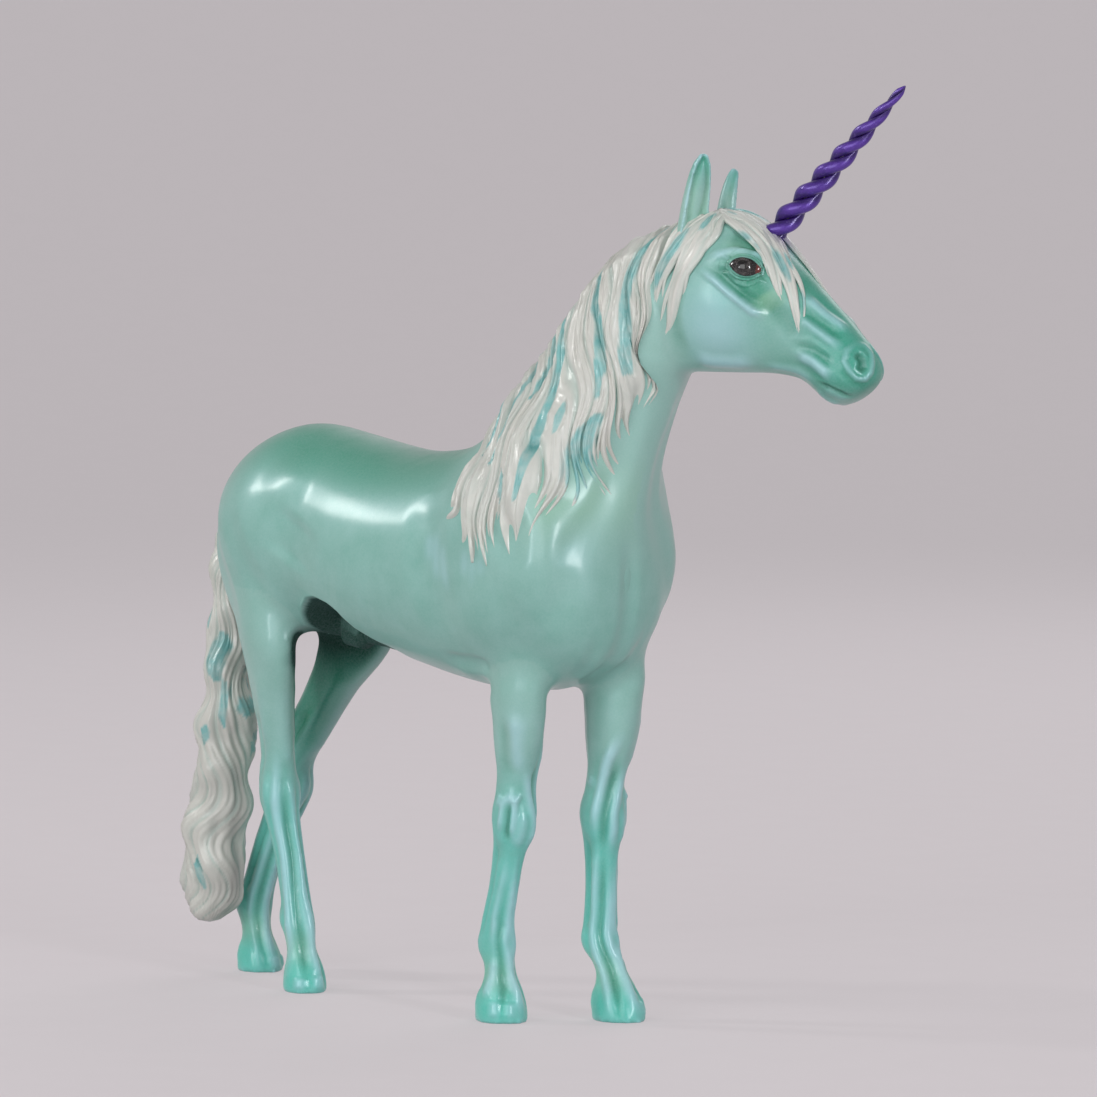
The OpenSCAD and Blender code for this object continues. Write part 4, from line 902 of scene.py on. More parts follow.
MANE_LANES, MANE_THICK, MANE_SINK = 1.3, 0.66, 0.4
MANE_UNDER, STREAK_DEEP, MANE_SEED = 0.35, 0.16, 7


def mane_path(place):
    """The line of the hair between two guides, with the waves that neighbouring strands share."""
    low = min(int(place), len(MANE_GUIDES) - 2)
    t = place - low
    a, b = (spline(MANE_GUIDES[k], MANE_POINTS) for k in (low, low + 1))
    line = a * (1 - t) + b * t
    s = np.linspace(0, 1, MANE_POINTS)
    run = unit(np.gradient(line, axis=0))
    wave = 0.42 * ramp(s, 0.08, 0.4) * np.sin(2 * math.pi * (2.1 * s + 0.27 * place))
    return line + np.stack((-run[:, 1], run[:, 0]), 1) * wave[:, None]


def crest_over(tree, x):
    """The top of the neck above x."""
    best = None
    for y in np.linspace(-3, 7, 41):
        hit = tree.ray_cast(Vector((x, y, 100)), Vector((0, 0, -1)))
        if hit[0] and (best is None or hit[0].z > best.z):
            best = hit[0]
    return np.array(best)


def mane_column(tree, place):
    """Where one line of the mane lies on the skin, from over the crest to its tip, and the way out of the skin."""
    seen = mane_path(place)
    path, out = settle(tree, seen, 0.0)
    top = crest_over(tree, min(seen[0][0] - 0.5, 33.2))
    path = np.concatenate(([top + (-0.2, 1.1, -0.6), top + (0, 0.2, 0.0)], path[2:]))
    out = unit(np.concatenate(([(-0.3, 0.6, 0.7), (-0.4, -0.1, 0.9)], out[2:])))
    both = spline(np.concatenate((path, out), 1), MANE_ROWS)
    return both[:, :3], unit(both[:, 3:])


def make_mane(tree, material):
    """The mane: a putty sheet on the right of the neck, worked into strands that run out into the skin."""
    for name, (low, high) in MANE_PARTS.items():
        columns = int(round((high - low) * MANE_COLUMNS)) + 1
        places = np.linspace(low, high, columns)
        made = [mane_column(tree, min(p, len(MANE_GUIDES) - 1.001)) for p in places]
        base, out = (np.stack([m[k] for m in made], 1) for k in (0, 1))
        at, along = np.meshgrid(places, np.linspace(0, 1, MANE_ROWS))
        lane = MANE_LANES * at + 0.2 * np.sin(2 * math.pi * (1.3 * along + 0.23 * at)) * ramp(along, 0.03, 0.3)
        lane = lane + 0.38 * ripple(0.5 * at, 1.7 * along, 3)
        cell, ridge, lines, hairs, own, shade = strands(lane, along, MANE_SEED)
        lump = 1 + 0.2 * ripple(0.9 * at, 3.4 * along, 5)
        teal = streaked(base[..., ::2].reshape(-1, 2), MANE_STREAKS).reshape(at.shape)
        height = MANE_THICK * (0.5 + 0.5 * ridge * (0.5 + 0.5 * own)) * lump * (1 - 0.35 * ramp(along, 0.5, 1))
        height = height + LINE_HIGH * (lines - 0.5) + HAIR_HIGH * (hairs - 0.5) - STREAK_DEEP * teal
        ends = 1.02 + 0.1 * own - 0.14 * (2 * cell) ** 2 - 0.1 * (1 - lines)
        stay = ramp((ends - along) / 0.22, 0, 1) * ramp(at, 0.3, 0.6) * (1 - ramp(at, 9.7, 10)) * ramp(along, 0, 0.05)
        height = height * stay - MANE_SINK * (1 - stay)
        count = MANE_ROWS * columns
        top = (base + out * height[..., None]).reshape(-1, 3)
        under = (base - out * (MANE_SINK + MANE_UNDER)).reshape(-1, 3)
        faces = grid_faces(MANE_ROWS, columns) + grid_faces(MANE_ROWS, columns, count, flip=True)
        rim = ([(0, j) for j in range(columns)] + [(i, columns - 1) for i in range(1, MANE_ROWS)]
               + [(MANE_ROWS - 1, j) for j in range(columns - 2, -1, -1)]
               + [(i, 0) for i in range(MANE_ROWS - 2, 0, -1)])
        rim = [i * columns + j for i, j in rim]
        faces += [(b, a, a + count, b + count) for a, b in zip(rim, rim[1:] + rim[:1])]
        flat = np.cross(top[1] - top[0], top[columns] - top[0]) @ out[0, 0]
        faces = faces if flat > 0 else [f[::-1] for f in faces]
        hair = Hair()
        hair.add(np.concatenate((top, under)), faces, np.concatenate((shade.ravel(), np.ones(count))),
                 np.concatenate((own.ravel(), np.ones(count))))
        hair.finish(name + "_hair", material, name, lambda co: streaked(co[:, ::2], MANE_STREAKS))


# Forelock and cheek lock guides, from the poll as (ahead, right, up), with their widths
FORELOCK_GUIDES = [
    ([(1.6, 1.0, 0.2), (2.9, 2.2, 0.0), (4.8, 2.6, -0.9), (6.3, 2.8, -2.1), (7.4, 3.2, -3.8), (8.2, 3.4, -5.5),
      (9.0, 3.3, -8.4)], 1.9),
    ([(1.8, 0.6, 0.2), (4.2, 1.5, -0.2), (6.0, 1.8, -1.4), (7.6, 2.2, -3.1), (8.8, 2.6, -4.9), (9.5, 2.6, -6.8),
      (10.0, 2.9, -8.7), (10.1, 3.0, -11.4)], 1.9),
    ([(2.0, 0.3, 0.2), (5.2, 1.0, -0.6), (7.4, 1.4, -2.2), (8.8, 1.8, -4.2), (9.9, 2.3, -6.4)], 1.6),
    ([(2.0, -0.2, 0.2), (5.2, -0.9, -0.5), (8.0, -1.1, -1.9), (9.8, -1.2, -4.0), (11.0, -1.2, -5.8),
      (12.4, -1.2, -7.8)], 1.8),
    ([(1.8, -0.5, 0.2), (4.8, -1.6, -0.7), (7.2, -2.2, -2.9), (8.8, -2.6, -5.4), (9.6, -2.9, -8.2)], 2.0),
    ([(1.6, -0.9, 0.2), (4.2, -2.1, -0.6), (6.2, -3.0, -3.2), (7.8, -3.4, -6.0), (8.4, -3.5, -8.0)], 2.0),
]
FORELOCK_STREAKS = [
    ([(1.2, 0.6, 0.6), (3.5, -0.3, 0.5), (5.5, -0.6, -0.1), (7.0, -0.8, -0.8)], 1.0),
    ([(2.4, 1.6, 0.4), (3.9, 1.9, 0.0)], 0.4),
    ([(4.1, 3.6, -1.8), (5.9, 3.6, -2.4), (6.8, 3.6, -3.4)], 0.5),
    ([(7.4, 2.6, -2.9), (8.3, 2.8, -4.3), (9.4, 2.9, -6.1)], 0.45),
    ([(8.4, 1.8, -3.2), (9.2, 2.2, -4.9)], 0.35),
    ([(10.2, 2.3, -7.2), (10.5, 2.7, -9)], 0.4),
    ([(3.6, -1.8, 0), (6.6, -2.6, -3.2)], 0.4),
]
CHEEK_GUIDES = [
    ([(1.6, 1.8, 0.0), (1.2, 3.3, -1.6), (0.4, 4.3, -3.4), (-0.3, 4.5, -5.2), (-1.0, 4.4, -7.0), (-1.9, 4.1, -9.0),
      (-3.1, 3.5, -11.6)], 2.0),
    ([(2.4, 1.7, -0.1), (2.2, 3.0, -1.4), (1.6, 4.0, -3.2), (0.8, 4.5, -4.8)], 1.2),
    ([(1.2, 1.8, 0.1), (0.2, 3.0, -1.4), (-1.0, 3.7, -3.1), (-2.0, 3.9, -4.7), (-3.0, 3.9, -6.6), (-3.5, 3.7, -8.8)],
     1.5),
    ([(0.2, 2.2, 0.0), (-0.8, 3.0, -1.6), (-2.2, 3.4, -3.6), (-3.2, 3.4, -6.0), (-3.8, 3.2, -8.6)], 1.5),
]
CHEEK_STREAKS = [
    ([(1.6, 2.2, -0.3), (0.7, 3.6, -1.7)], 0.4),
    ([(-0.6, 3.4, -1.8), (-1.6, 3.6, -3.4), (-2.9, 3.6, -5.2), (-3.6, 3.6, -7.0)], 0.8),
]


def make_guided(tree, name, node, guides, streaks, material):
    """Hair that lies along a few guide lines on the head, with finer strands beside each."""
    hair = Hair()
    s = np.linspace(0, 1, GUIDED_POINTS)
    for points, width in guides:
        for copy in range(3):
            fine = copy > 0
            line = spline([head_point(*p) for p in points], GUIDED_POINTS)
            line = spline(line[: int(GUIDED_POINTS * (rng.uniform(0.7, 1.0) if fine else 1))], GUIDED_POINTS)
            lift = (0.22 if fine else 0.1) * (1 - ramp(s, 0.35, 0.9)) - 0.16 * ramp(s, 0.75, 1)
            path, out = settle(tree, line, 0.05 + lift)
            side = np.cross(unit(np.gradient(path, axis=0)), out)
            shift = rng.uniform(0.2, 0.42) * width * (1 if copy == 1 else -1) if fine else 0.0
            path = path + side * (shift * ramp(s, 0, 0.3))[:, None]
            path = wavy(path, out, rng.uniform(0.1, 0.24), rng.uniform(0.9, 1.9), rng.random())
            share, thick, ridges = (rng.uniform(0.35, 0.5), 0.28, 2) if fine else (1, 0.38, 3)
            hair.lock(path, out, width * share, thick, ridges)
    hair.finish(name, material, node, lambda co: streaked(head_local(co), streaks))


TAIL_STREAKS = [
    ([(-26.5, 33.4), (-26.7, 31.1), (-26.1, 29.4)], 1.0), ([(-25.6, 29), (-25.4, 26.6), (-25.4, 24.6)], 0.45),
    ([(-27, 24.6), (-27.5, 23)], 0.6), ([(-24, 28.5), (-23.8, 25.5)], 0.6), ([(-28, 36.5), (-28.2, 34.4)], 0.45),
    ([(-28, 11.6), (-27.9, 8.8)], 0.6)
]
TAIL_ROWS, TAIL_COLUMNS, TAIL_LANES, TAIL_VOXEL = 150, 132, 9, 0.35
# The tail's ends close over these heights; its least radius
TAIL_CLOSE, TAIL_TOP_CLOSE, TAIL_LEAST, TAIL_SEED = 1.6, 0.6, 0.3, 23
# Swings of its strands and its lumps: size, turn by height, turns round the tail, start
TAIL_SWINGS = [(0.55, 0.55, 0, 0), (0.6, 0.23, 0, 1.1), (0.4, 0.7, 1, 0)]
TAIL_LUMPS = [(0.26, 0.74, 2, 0.9), (0.2, 1.25, -1, 0)]


def make_tail(material):
    """The tail: one lumpy body of putty, worked into wavy strands, with a blunt end."""
    base = remesh([node_mesh("tail_hair")], TAIL_VOXEL)
    relax(base, 10)
    tree = tree_of(base)
    co = coords(base)
    low, high = co[:, 2].min(), co[:, 2].max()
    steps = np.linspace(low + 0.5, high - 0.5, 40)
    mids = np.array([(s.min(0) + s.max(0)) / 2 for s in (co[np.abs(co[:, 2] - h) < 0.7][:, :2] for h in steps)])
    heights = np.linspace(high, low, TAIL_ROWS)
    angles = 2 * math.pi * np.arange(TAIL_COLUMNS) / TAIL_COLUMNS
    middle = np.stack([np.interp(heights, steps, mids[:, k]) for k in (0, 1)], 1)
    inside = np.clip(heights, low + 1.0, high - 0.4)
    reach = np.array([[tree.ray_cast(Vector((*m, h)), Vector((math.cos(a), math.sin(a), 0)))[3] or 0.3 for a in angles]
                      for m, h in zip(middle, inside)])
    for _ in range(3):
        reach = 0.5 * reach + 0.25 * (np.roll(reach, 1, 1) + np.roll(reach, -1, 1))
        reach[1:-1] = 0.5 * reach[1:-1] + 0.25 * (reach[:-2] + reach[2:])
    h, a = heights[:, None], angles[None, :]
    along = (high - h) / (high - low)
    lane, lump = TAIL_LANES * a / (2 * math.pi), 0.0
    for size, by_height, by_turn, start in TAIL_SWINGS:
        lane = lane + size * np.sin(by_height * h + by_turn * a + start)
    for size, by_height, by_turn, start in TAIL_LUMPS:
        lump = lump + size * np.sin(by_height * h + by_turn * a + start)
    lump = lump + 0.3 * np.exp(-((h - 25.5) / 2) ** 2)
    _, ridge, lines, hairs, own, shade = strands(lane % TAIL_LANES, along + 0 * a, TAIL_SEED)
    grow = ramp(along, 0, 0.1)
    relief = 0.3 * (0.5 + own) * (ridge - 0.7) + LINE_HIGH * (lines - 0.5) + HAIR_HIGH * (hairs - 0.5)
    relief = grow * (relief + lump + 0.2)
    far = np.maximum(reach + relief, TAIL_LEAST)
    for gap, close in ((h - low, TAIL_CLOSE), (high - h, TAIL_TOP_CLOSE)):
        far = far * np.sqrt(np.clip(1 - (1 - np.clip(gap / close, 0, 1)) ** 2, 0, 1))
    points = np.stack((middle[:, :1] + far * np.cos(a), middle[:, 1:] + far * np.sin(a), h + 0 * a), 2)[1:-1]
    rows, columns = points.shape[:2]
    ends = np.array([(*middle[0], high), (*middle[-1], low)])
    faces = grid_faces(rows, columns, wrap=True, flip=True)
    faces += [(rows * columns, j, (j + 1) % columns) for j in range(columns)]
    last = (rows - 1) * columns
    faces += [(rows * columns + 1, last + (j + 1) % columns, last + j) for j in range(columns)]
    shade = shade[1:-1].ravel()
    hair = Hair()
    hair.add(np.concatenate((points.reshape(-1, 3), ends)), faces, np.concatenate((shade, (1, 1))),
             np.concatenate((own[1:-1].ravel(), (0, 0))))

    def teal(co):
        back = 0.8 * ramp(np.sin(0.9 * co[:, 2] + 2.5 * co[:, 0]) * np.sin(0.31 * co[:, 2] + 1), 0.45, 0.7)
        return np.where(co[:, 1] < 0.5, streaked(co[:, ::2], TAIL_STREAKS), back)

    hair.finish("tail_hair_locks", material, "tail_hair", teal)


# Materials
def srgb(r, g, b):
    def line(c):
        c /= 255
        return c / 12.92 if c <= 0.04045 else ((c + 0.055) / 1.055) ** 2.4
    return (line(r), line(g), line(b), 1.0)


NOISE_ROUGH = 0.55


class Paint:
    """A node material, built step by step."""

    def __init__(self, name):
        self.material = bpy.data.materials.new(name)
        self.material.use_nodes = True
        self.nodes, self.links = self.material.node_tree.nodes, self.material.node_tree.links
        self.shader = self.nodes["Principled BSDF"]

    def node(self, kind, **settings):
        n = self.nodes.new(kind)
        for k, v in settings.items():
            setattr(n, k, v)
        return n

    def mask(self, name):
        return self.node("ShaderNodeAttribute", attribute_name=name).outputs["Fac"]

    def noise(self, scale, detail):
        n = self.node("ShaderNodeTexNoise")
        n.inputs["Scale"].default_value = scale
        n.inputs["Detail"].default_value = detail
        n.inputs["Roughness"].default_value = NOISE_ROUGH
        at = self.node("ShaderNodeTexCoord")
        self.links.new(at.outputs["Object"], n.inputs["Vector"])
        return n.outputs["Fac"]

    def put(self, value, socket):
        if hasattr(value, "is_output"):
            self.links.new(value, socket)
        else:
            socket.default_value = value

    def math(self, kind, a, b):
        n = self.node("ShaderNodeMath", operation=kind, use_clamp=kind in ("ADD", "MULTIPLY"))
        self.put(a, n.inputs[0])
        self.put(b, n.inputs[1])
        return n.outputs[0]

    def span(self, value, low, high, to_low=0.0, to_high=1.0):
        n = self.node("ShaderNodeMapRange")
        self.put(value, n.inputs["Value"])
        for key, v in (("From Min", low), ("From Max", high), ("To Min", to_low), ("To Max", to_high)):
            n.inputs[key].default_value = v
        return n.outputs["Result"]

    def mix(self, share, a, b):
        n = self.node("ShaderNodeMix", data_type="RGBA")
        self.put(share, n.inputs[0])
        self.put(a, n.inputs[6])
        self.put(b, n.inputs[7])
        return n.outputs[2]

    def layers(self, colour, steps):
        """Lays tones over a colour, each by a mask and a share."""
        for mask, share, tone in steps:
            colour = self.mix(self.math("MULTIPLY", self.mask(mask), share), colour, srgb(*tone))
        return colour

    def bump(self, height, strength, distance):
        n = self.node("ShaderNodeBump")
        n.inputs["Strength"].default_value = strength
        n.inputs["Distance"].default_value = distance
        self.links.new(height, n.inputs["Height"])
        self.links.new(n.outputs["Normal"], self.shader.inputs["Normal"])

    def set(self, **values):
        for key, v in values.items():
            self.put(v, self.shader.inputs[key.replace("_", " ")])
        return self


# The pearl paint's tones, and its layers in order: mask, share, tone
MINT_LOW, MINT_HIGH, DEEP_GREEN, TEAL_GREEN = (130, 186, 172), (141, 193, 181), (40, 146, 114), (80, 202, 184)
TEAL_SHARE = 0.8
PEARL_SPECK, PEARL_GLOSS = (226, 240, 244), (196, 226, 255)
PEARL_UNDER = [("pale", 0.7, (158, 199, 188))]
# The last four layers are painted shade in the hollows, a painted highlight on the ridges, painted shade in the folds
# and between the thighs, and dark paint on the lid rims with painted shade in the nostrils and mouth
PEARL_OVER = [
    ("hoof", 0.6, (76, 206, 184)), ("warm", 0.55, (150, 200, 160)), ("blush", 0.75, (120, 84, 160)),
    ("cavity", 0.62, (36, 128, 98)), ("edge", 0.62, (186, 228, 238)), ("shade", 0.95, (8, 54, 38)),
    ("dark", 0.85, (20, 56, 46)),
]


def pearl_paint():
    p = Paint("pearl_mint_paint")
    cloud = p.noise(420, 4)
    speck = p.noise(5200, 2)
    mint = p.mix(p.span(cloud, 0.35, 0.65), srgb(*MINT_LOW), srgb(*MINT_HIGH))
    colour = p.layers(mint, PEARL_UNDER)
    deep = p.math("MULTIPLY", p.mask("deep"), p.span(cloud, 0.2, 0.8, 0.75, 1.0))
    colour = p.mix(deep, colour, srgb(*DEEP_GREEN))
    teal = p.math("MULTIPLY", p.mask("teal"), p.span(cloud, 0.25, 0.75, 0.7, 1.0))
    colour = p.mix(p.math("MULTIPLY", teal, TEAL_SHARE), colour, srgb(*TEAL_GREEN))
    colour = p.layers(colour, PEARL_OVER)
    colour = p.mix(p.span(speck, 0.3, 0.75, 0.0, 0.07), colour, srgb(*PEARL_SPECK))
    rough = p.math("MAXIMUM", p.span(cloud, 0.3, 0.7, 0.34, 0.44), p.mask("shade"))
    p.set(Base_Color=colour, Roughness=rough, Coat_Weight=p.span(p.mask("shade"), 0.0, 0.6, 0.5, 0.0),
          Coat_Roughness=0.2, Specular_Tint=srgb(*PEARL_GLOSS))
    p.bump(p.math("ADD", p.math("MULTIPLY", speck, 0.5), p.math("MULTIPLY", cloud, 0.5)), 0.12, 0.00004)
    return p.material


def hair_putty():
    p = Paint("hair_putty_paint")
    cloud = p.noise(700, 4)
    fine = p.noise(4200, 3)
    white = p.mix(p.span(p.mask("tone"), 0, 1), srgb(212, 213, 205), srgb(200, 206, 198))
    white = p.mix(p.span(cloud, 0.4, 0.7, 0, 0.5), white, srgb(220, 220, 212))
    # Painted shade in the grooves between strands, on the white and on the teal streaks
    grooved = p.mix(p.math("MULTIPLY", p.span(p.mask("groove"), 0.3, 1.0), 0.55), white, srgb(164, 194, 184))
    teal = p.mix(p.span(p.mask("groove"), 0.2, 0.9), srgb(122, 188, 186), srgb(58, 142, 140))
    share = p.math("MULTIPLY", p.mask("teal"), p.span(cloud, 0.3, 0.6, 0.55, 0.95))
    colour = p.mix(share, grooved, teal)
    colour = p.layers(colour, [("blush", 0.75, (112, 74, 160))])
    p.set(Base_Color=colour, Roughness=p.span(fine, 0.3, 0.7, 0.3, 0.48), Coat_Weight=0.4, Coat_Roughness=0.2)
    p.bump(p.math("ADD", p.math("MULTIPLY", fine, 0.6), p.math("MULTIPLY", cloud, 0.4)), 0.35, 0.00006)
    return p.material


def horn_paint():
    p = Paint("horn_purple_paint")
    cloud = p.noise(900, 3)
    fleck = p.noise(6000, 2)
    colour = p.mix(p.span(cloud, 0.35, 0.65), srgb(64, 32, 130), srgb(86, 48, 158))
    # A painted highlight on the crests and painted shade in the pinches
    colour = p.layers(colour, [("edge", 0.2, (118, 84, 190)), ("cavity", 0.7, (34, 14, 78))])
    colour = p.mix(p.span(fleck, 0.6, 0.75, 0, 0.3), colour, srgb(150, 120, 214))
    p.set(Base_Color=colour, Roughness=p.span(cloud, 0.3, 0.7, 0.3, 0.4), Metallic=0.3, Coat_Weight=0.3,
          Coat_Roughness=0.16)
    p.bump(cloud, 0.1, 0.00004)
    return p.material


def eye_paint():
    p = Paint("eye_gloss_paint")
    fleck = p.noise(9000, 2)
    rays = p.noise(3200, 3)
    iris = p.mix(p.span(rays, 0.42, 0.66), srgb(22, 21, 21), srgb(80, 76, 75))
    colour = p.mix(p.span(p.mask("radial"), 0.36, 0.44), srgb(8, 8, 9), iris)
    colour = p.mix(p.span(p.mask("radial"), 0.72, 0.9), colour, srgb(20, 16, 16))
    colour = p.mix(p.span(p.mask("corner"), 0.3, 0.75), colour, srgb(104, 40, 34))
    colour = p.mix(p.span(fleck, 0.62, 0.74, 0, 0.5), colour, srgb(190, 186, 182))
    p.set(Base_Color=colour, Roughness=p.span(rays, 0.3, 0.7, 0.05, 0.1), Coat_Weight=0.4, Coat_Roughness=0.03)
    return p.material


def wire_metal():
    p = Paint("drawn_wire")
    line = p.noise(2600, 4)
    p.set(Base_Color=p.mix(p.span(line, 0.3, 0.7), srgb(150, 148, 142), srgb(186, 184, 178)),
          Roughness=p.span(line, 0.3, 0.7, 0.25, 0.42), Metallic=1.0)
    p.bump(line, 0.2, 0.00003)
    return p.material


# The floor's colour, and the pale tone that the camera and mirror rays see mixed into it
FLOOR_TONE, PALE_TONE, PALE_SHARE = (196, 188, 192), (228, 222, 225), 0.55


def plain_stage(name, colour):
    p = Paint(name)
    grain = p.noise(160, 2)
    darker = tuple(0.97 * c for c in colour[:3]) + (1.0,)
    p.set(Base_Color=p.mix(p.span(grain, 0.3, 0.7), colour, darker), Roughness=0.85)
    ray = p.node("ShaderNodeLightPath")
    seen = p.math("MAXIMUM", ray.outputs["Is Camera Ray"], ray.outputs["Is Glossy Ray"])
    seen = p.math("MAXIMUM", seen, ray.outputs["Is Transmission Ray"])
    glow = p.node("ShaderNodeEmission")
    glow.inputs["Color"].default_value = srgb(*PALE_TONE)
    blend = p.node("ShaderNodeMixShader")
    p.links.new(p.math("MULTIPLY", seen, PALE_SHARE), blend.inputs[0])
    p.links.new(p.shader.outputs["BSDF"], blend.inputs[1])
    p.links.new(glow.outputs["Emission"], blend.inputs[2])
    p.links.new(blend.outputs["Shader"], p.nodes["Material Output"].inputs["Surface"])
    return p.material


# Small pieces taken over from the CAD nodes and smoothed
PEARL_MASKS = ("deep", "teal", "pale", "hoof", "blush", "warm", "cavity", "edge", "dark", "shade")
EAR_VOXEL, EAR_ROUNDS, EAR_BLUR, CUP_BLUR, CUP_DEPTH = 0.11, 24, 3, 5, 2.2
# The plug in an ear's foot, as shares of the ear's height: place along and across it, girth and length
PLUG_UP, PLUG_ACROSS, PLUG_GIRTH, PLUG_LONG = 0.22, 0.05, 0.13, 0.6


def make_ear(name, node, material):
    """An ear cup from its CAD node, closed at the foot."""
    co, faces = node_mesh(node)
    low, high = co[:, 2].min(), co[:, 2].max()
    span = high - low
    foot = co[co[:, 2] < low + 0.35 * span].mean(0)
    axis = unit(co[co[:, 2] > high - 0.6].mean(0) - foot)
    across = unit(np.cross(axis, AHEAD))
    lean = co.mean(0) - foot
    lean = unit(lean - (lean @ axis) * axis)
    plug = ball(foot + span * (PLUG_UP * axis + PLUG_ACROSS * lean),
                (PLUG_GIRTH * span, PLUG_GIRTH * span, PLUG_LONG * span), (np.cross(across, axis), across, axis))
    mesh = remesh([(co, faces), plug], EAR_VOXEL)
    relax(mesh, EAR_ROUNDS)
    points, edges, degree = graph(mesh)
    n, tree = normals(mesh), tree_of(mesh)
    bend = np.einsum("ij,ij->i", spread(points, edges, degree) - points, n)
    bend = blur(bend, edges, degree, EAR_BLUR)
    bend = bend / np.abs(bend).max()
    hits = [tree.ray_cast(Vector(p + 0.05 * d), Vector(d)) for p, d in zip(points, n)]
    cup = np.array([1.0 if hit[0] and hit[3] < CUP_DEPTH else 0.0 for hit in hits])
    cup = blur(cup, edges, degree, CUP_BLUR)
    rise = ramp(points[:, 2], low + 0.45 * span, high)
    masks = dict.fromkeys(PEARL_MASKS, np.zeros(len(points)))
    # Painted shade in the ear's hollows and a painted highlight on its rims
    masks.update(deep=rise * (1 - 0.4 * cup), teal=np.clip(0.8 * cup + 0.3 * rise, 0, 1), pale=0.7 * (1 - rise),
                 warm=0.5 * (1 - rise) * (1 - cup), cavity=np.clip(bend * 2, 0, 1) * 0.5,
                 edge=np.clip(-bend * 1.5, 0, 1))
    piece(name, points, [p.vertices[:] for p in mesh.polygons], material, [node], masks)


# Horn: two round strands wound about the pin; their radius and distance from it are shares of the horn's girth
HORN_L, HORN_D, HORN_TIP_D, HORN_TAPER, HORN_TURNS = 18.6, 2.4, 0.6, 2.5, 3.6
HORN_PHASE = 132
HORN_ROUND, HORN_OFF, HORN_OPEN = 0.32, 0.19, 118
STRAND_SIDES, STRAND_STEPS = 22, 240


def make_strand(name, node, phase, material):
    pin = node_mesh("horn_pin")[0]
    mid = pin.mean(0)
    axis = np.linalg.svd(pin - mid, full_matrices=False)[2][0]
    axis = axis * np.sign(axis[2])
    foot = mid + axis * (((node_mesh(node)[0] - mid) @ axis).max() - HORN_L)
    side = -RIGHT
    up = np.cross(axis, side)
    s = np.linspace(-1.0, HORN_L, STRAND_STEPS)
    girth = HORN_D + (HORN_TIP_D - HORN_D) * np.clip(s / HORN_L, 0, 1) ** HORN_TAPER
    girth = girth * np.sqrt(np.clip((HORN_L + 0.02 - s) / 0.7, 0.02, 1))
    turn = np.radians(phase + 360 * HORN_TURNS * s / HORN_L)
    way = np.cos(turn)[:, None] * side + np.sin(turn)[:, None] * up
    wide = np.cross(axis, way)
    round_it = np.radians(np.linspace(-HORN_OPEN, HORN_OPEN, STRAND_SIDES))
    reach = np.append(HORN_OFF + HORN_ROUND * np.cos(round_it), (0.004, 0.004))
    spread_at = np.append(HORN_ROUND * np.sin(round_it), (0.15, -0.15))
    co = (foot + s[:, None] * axis)[:, None, :] + girth[:, None, None] * (
        way[:, None, :] * reach[None, :, None] + wide[:, None, :] * spread_at[None, :, None])
    # Painted highlight along each strand's crest and painted shade in the pinch between strands
    crest = np.tile(np.clip(reach / (HORN_OFF + HORN_ROUND), 0, 1) ** 2, STRAND_STEPS)
    piece(name, co.reshape(-1, 3), tube_faces(STRAND_STEPS, len(reach)), material, [node],
          {"cavity": ramp(0.5 - crest, 0, 0.45), "edge": crest})


CORNEA_HIGH, TEAR_HIGH = 0.1, 0.12


def make_eye(name, node, side, material):
    middle, axes = eye_frame(side)
    co, faces = ball(middle, EYE_RADII, axes, 48, 64)
    q = (co - middle) @ axes.T / EYE_RADII
    swell = CORNEA_HIGH * (1 - ramp(np.hypot(q[:, 0] * 1.35, q[:, 1]), 0.2, 0.75)) * (q[:, 2] > 0)
    co = co + axes[2] * swell[:, None]
    tear = ramp(q[:, 0], 0.72, 0.9) * (q[:, 2] > -0.2)
    co = co + axes[2] * TEAR_HIGH * (tear * (1 - ramp(q[:, 0], 0.93, 1.0)))[:, None]
    faces = [f[::-1] for f in faces] if np.linalg.det(axes) < 0 else faces
    radial = np.hypot((q[:, 0] + 0.16) * 1.5, q[:, 1] - 0.08) + (q[:, 2] < 0)
    piece(name, co, faces, material, [node], {"radial": radial, "corner": ramp(q[:, 0], 0.5, 0.8)})


# Stage, light and camera
CAMERA_TARGET = np.array((9.8, 8.2, 43.1))
CAMERA_AZIMUTH, CAMERA_RISE, CAMERA_AWAY = 47.5, 3.3, 600.0
PIXELS, PIXELS_PER_MM = 1097, 10.58
SENSOR = 36
LAMP_TARGET = np.array((8.0, 1.0, 42.0))


def back_from(azimuth, rise):
    a, e = math.radians(azimuth), math.radians(rise)
    return np.array((math.sin(a) * math.cos(e), -math.cos(a) * math.cos(e), math.sin(e)))


def place(point):
    return Vector((np.asarray(point) - ORIGIN) * MM)


def make_camera():
    data = bpy.data.cameras.new("camera")
    cam = bpy.data.objects.new("camera", data)
    bpy.context.scene.collection.objects.link(cam)
    data.sensor_width = SENSOR
    data.lens = SENSOR * CAMERA_AWAY * PIXELS_PER_MM / PIXELS
    data.clip_start, data.clip_end = 0.01, 10
    back = back_from(CAMERA_AZIMUTH, CAMERA_RISE)
    cam.location = place(CAMERA_TARGET + back * CAMERA_AWAY)
    cam.rotation_mode = "QUATERNION"
    cam.rotation_quaternion = Vector(-back).to_track_quat("-Z", "Y")
    bpy.context.scene.camera = cam


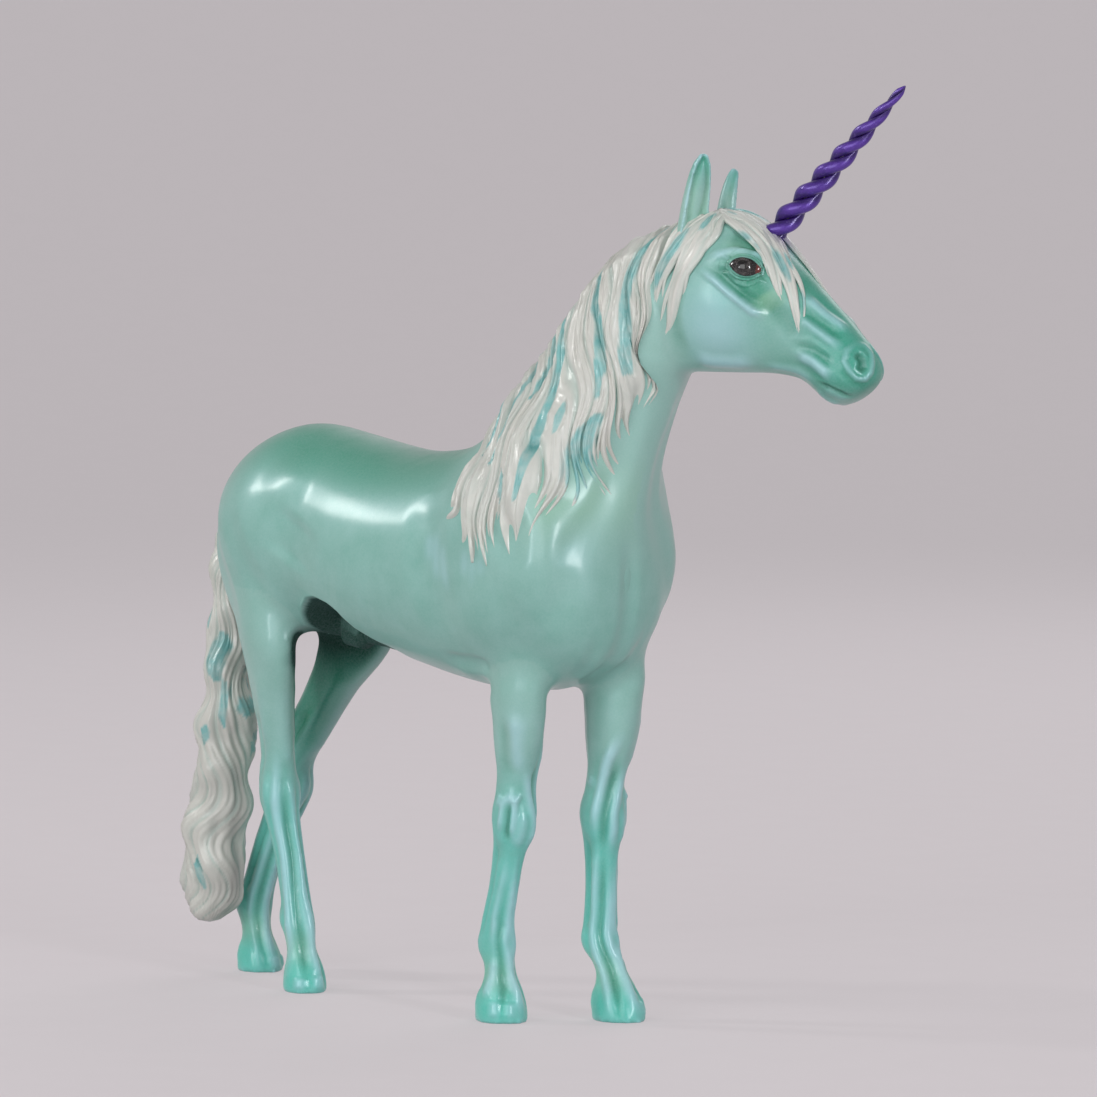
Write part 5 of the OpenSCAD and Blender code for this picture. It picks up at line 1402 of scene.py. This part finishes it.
def softbox(name, azimuth, rise, away, width, height, power, colour):
    data = bpy.data.lights.new(name, "AREA")
    data.shape, data.size, data.size_y = "RECTANGLE", width * MM, height * MM
    data.energy, data.color = power, colour
    lamp = bpy.data.objects.new(name, data)
    lamp.visible_camera = False
    bpy.context.scene.collection.objects.link(lamp)
    way = back_from(azimuth, rise)
    lamp.location = place(LAMP_TARGET + way * away)
    lamp.rotation_mode = "QUATERNION"
    lamp.rotation_quaternion = Vector(-way).to_track_quat("-Z", "Y")


# The studio floor: flat in the middle, swept up all round
FLOOR_FLAT, FLOOR_SWEEP, FLOOR_RISE = 900.0, 500.0, 900.0
FLOOR_DROP = 0.02
WORLD_TONE, WORLD_STRENGTH = (214, 210, 212), 0.5
# Lamps: name, azimuth, rise, distance, width, height, watts, colour
LAMPS = [
    ("key", -54, 30, 420, 38, 110, 0.36, (1.0, 0.99, 0.97)),
    ("front", 80, 14, 460, 60, 170, 0.7, (0.97, 0.98, 1.0)),
    ("side", -8, 8, 440, 30, 130, 0.2, (0.96, 0.98, 1.0)),
    ("fill", 16, 14, 620, 480, 480, 1.6, (1.0, 1.0, 1.0)),
    ("back", 205, 38, 560, 400, 400, 0.7, (1.0, 1.0, 1.0)),
]


def make_stage():
    sides = 96
    ring = [(FLOOR_FLAT, 0.0)] + [(FLOOR_FLAT + FLOOR_SWEEP * math.sin(a), FLOOR_SWEEP * (1 - math.cos(a)))
                                 for a in np.linspace(0.1, math.pi / 2, 16)]
    ring.append((FLOOR_FLAT + FLOOR_SWEEP, FLOOR_SWEEP + FLOOR_RISE))
    co = [tuple(place((r * math.cos(t), r * math.sin(t), z - FLOOR_DROP)))
          for r, z in ring for t in np.linspace(0, 2 * math.pi, sides, endpoint=False)]
    faces = [tuple(range(sides))] + grid_faces(len(ring), sides, wrap=True, flip=True)
    mesh = bpy.data.meshes.new("floor")
    mesh.from_pydata(co, [], faces)
    mesh.polygons.foreach_set("use_smooth", np.ones(len(mesh.polygons), bool))
    mesh.materials.append(plain_stage("floor_card", srgb(*FLOOR_TONE)))
    ob = bpy.data.objects.new("floor", mesh)
    bpy.context.scene.collection.objects.link(ob)
    world = bpy.data.worlds.new("studio")
    bpy.context.scene.world = world
    world.use_nodes = True
    sky = world.node_tree.nodes["Background"].inputs
    sky["Color"].default_value, sky["Strength"].default_value = srgb(*WORLD_TONE), WORLD_STRENGTH
    for lamp in LAMPS:
        softbox(*lamp)


bpy.context.scene.view_settings.view_transform = "Standard"
make_camera()
make_stage()
mint, putty, purple, gloss, wire = pearl_paint(), hair_putty(), horn_paint(), eye_paint(), wire_metal()
skin, skin_owner, skin_carved, skin_fold = make_skin()
skin_tree = tree_of(skin)
split_skin(skin, skin_owner, skin_masks(skin, skin_owner, skin_carved, skin_fold), mint)
for side_name, side_sign in EYES.items():
    make_eye(side_name + "_eyeball", side_name + "_eye", side_sign, gloss)
    make_ear(side_name + "_ear_skin", side_name + "_ear", mint)
make_strand("horn_twist_a", "horn_strand_a", HORN_PHASE, purple)
make_strand("horn_twist_b", "horn_strand_b", HORN_PHASE + 180, purple)
make_mane(skin_tree, putty)
make_guided(skin_tree, "forelock_hair", "forelock", FORELOCK_GUIDES, FORELOCK_STREAKS, putty)
make_guided(skin_tree, "cheek_lock_hair", "cheek_lock", CHEEK_GUIDES, CHEEK_STREAKS, putty)
make_tail(putty)
for node in WIRE_NODES:
    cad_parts[node].data.materials.clear()
    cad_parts[node].data.materials.append(wire)
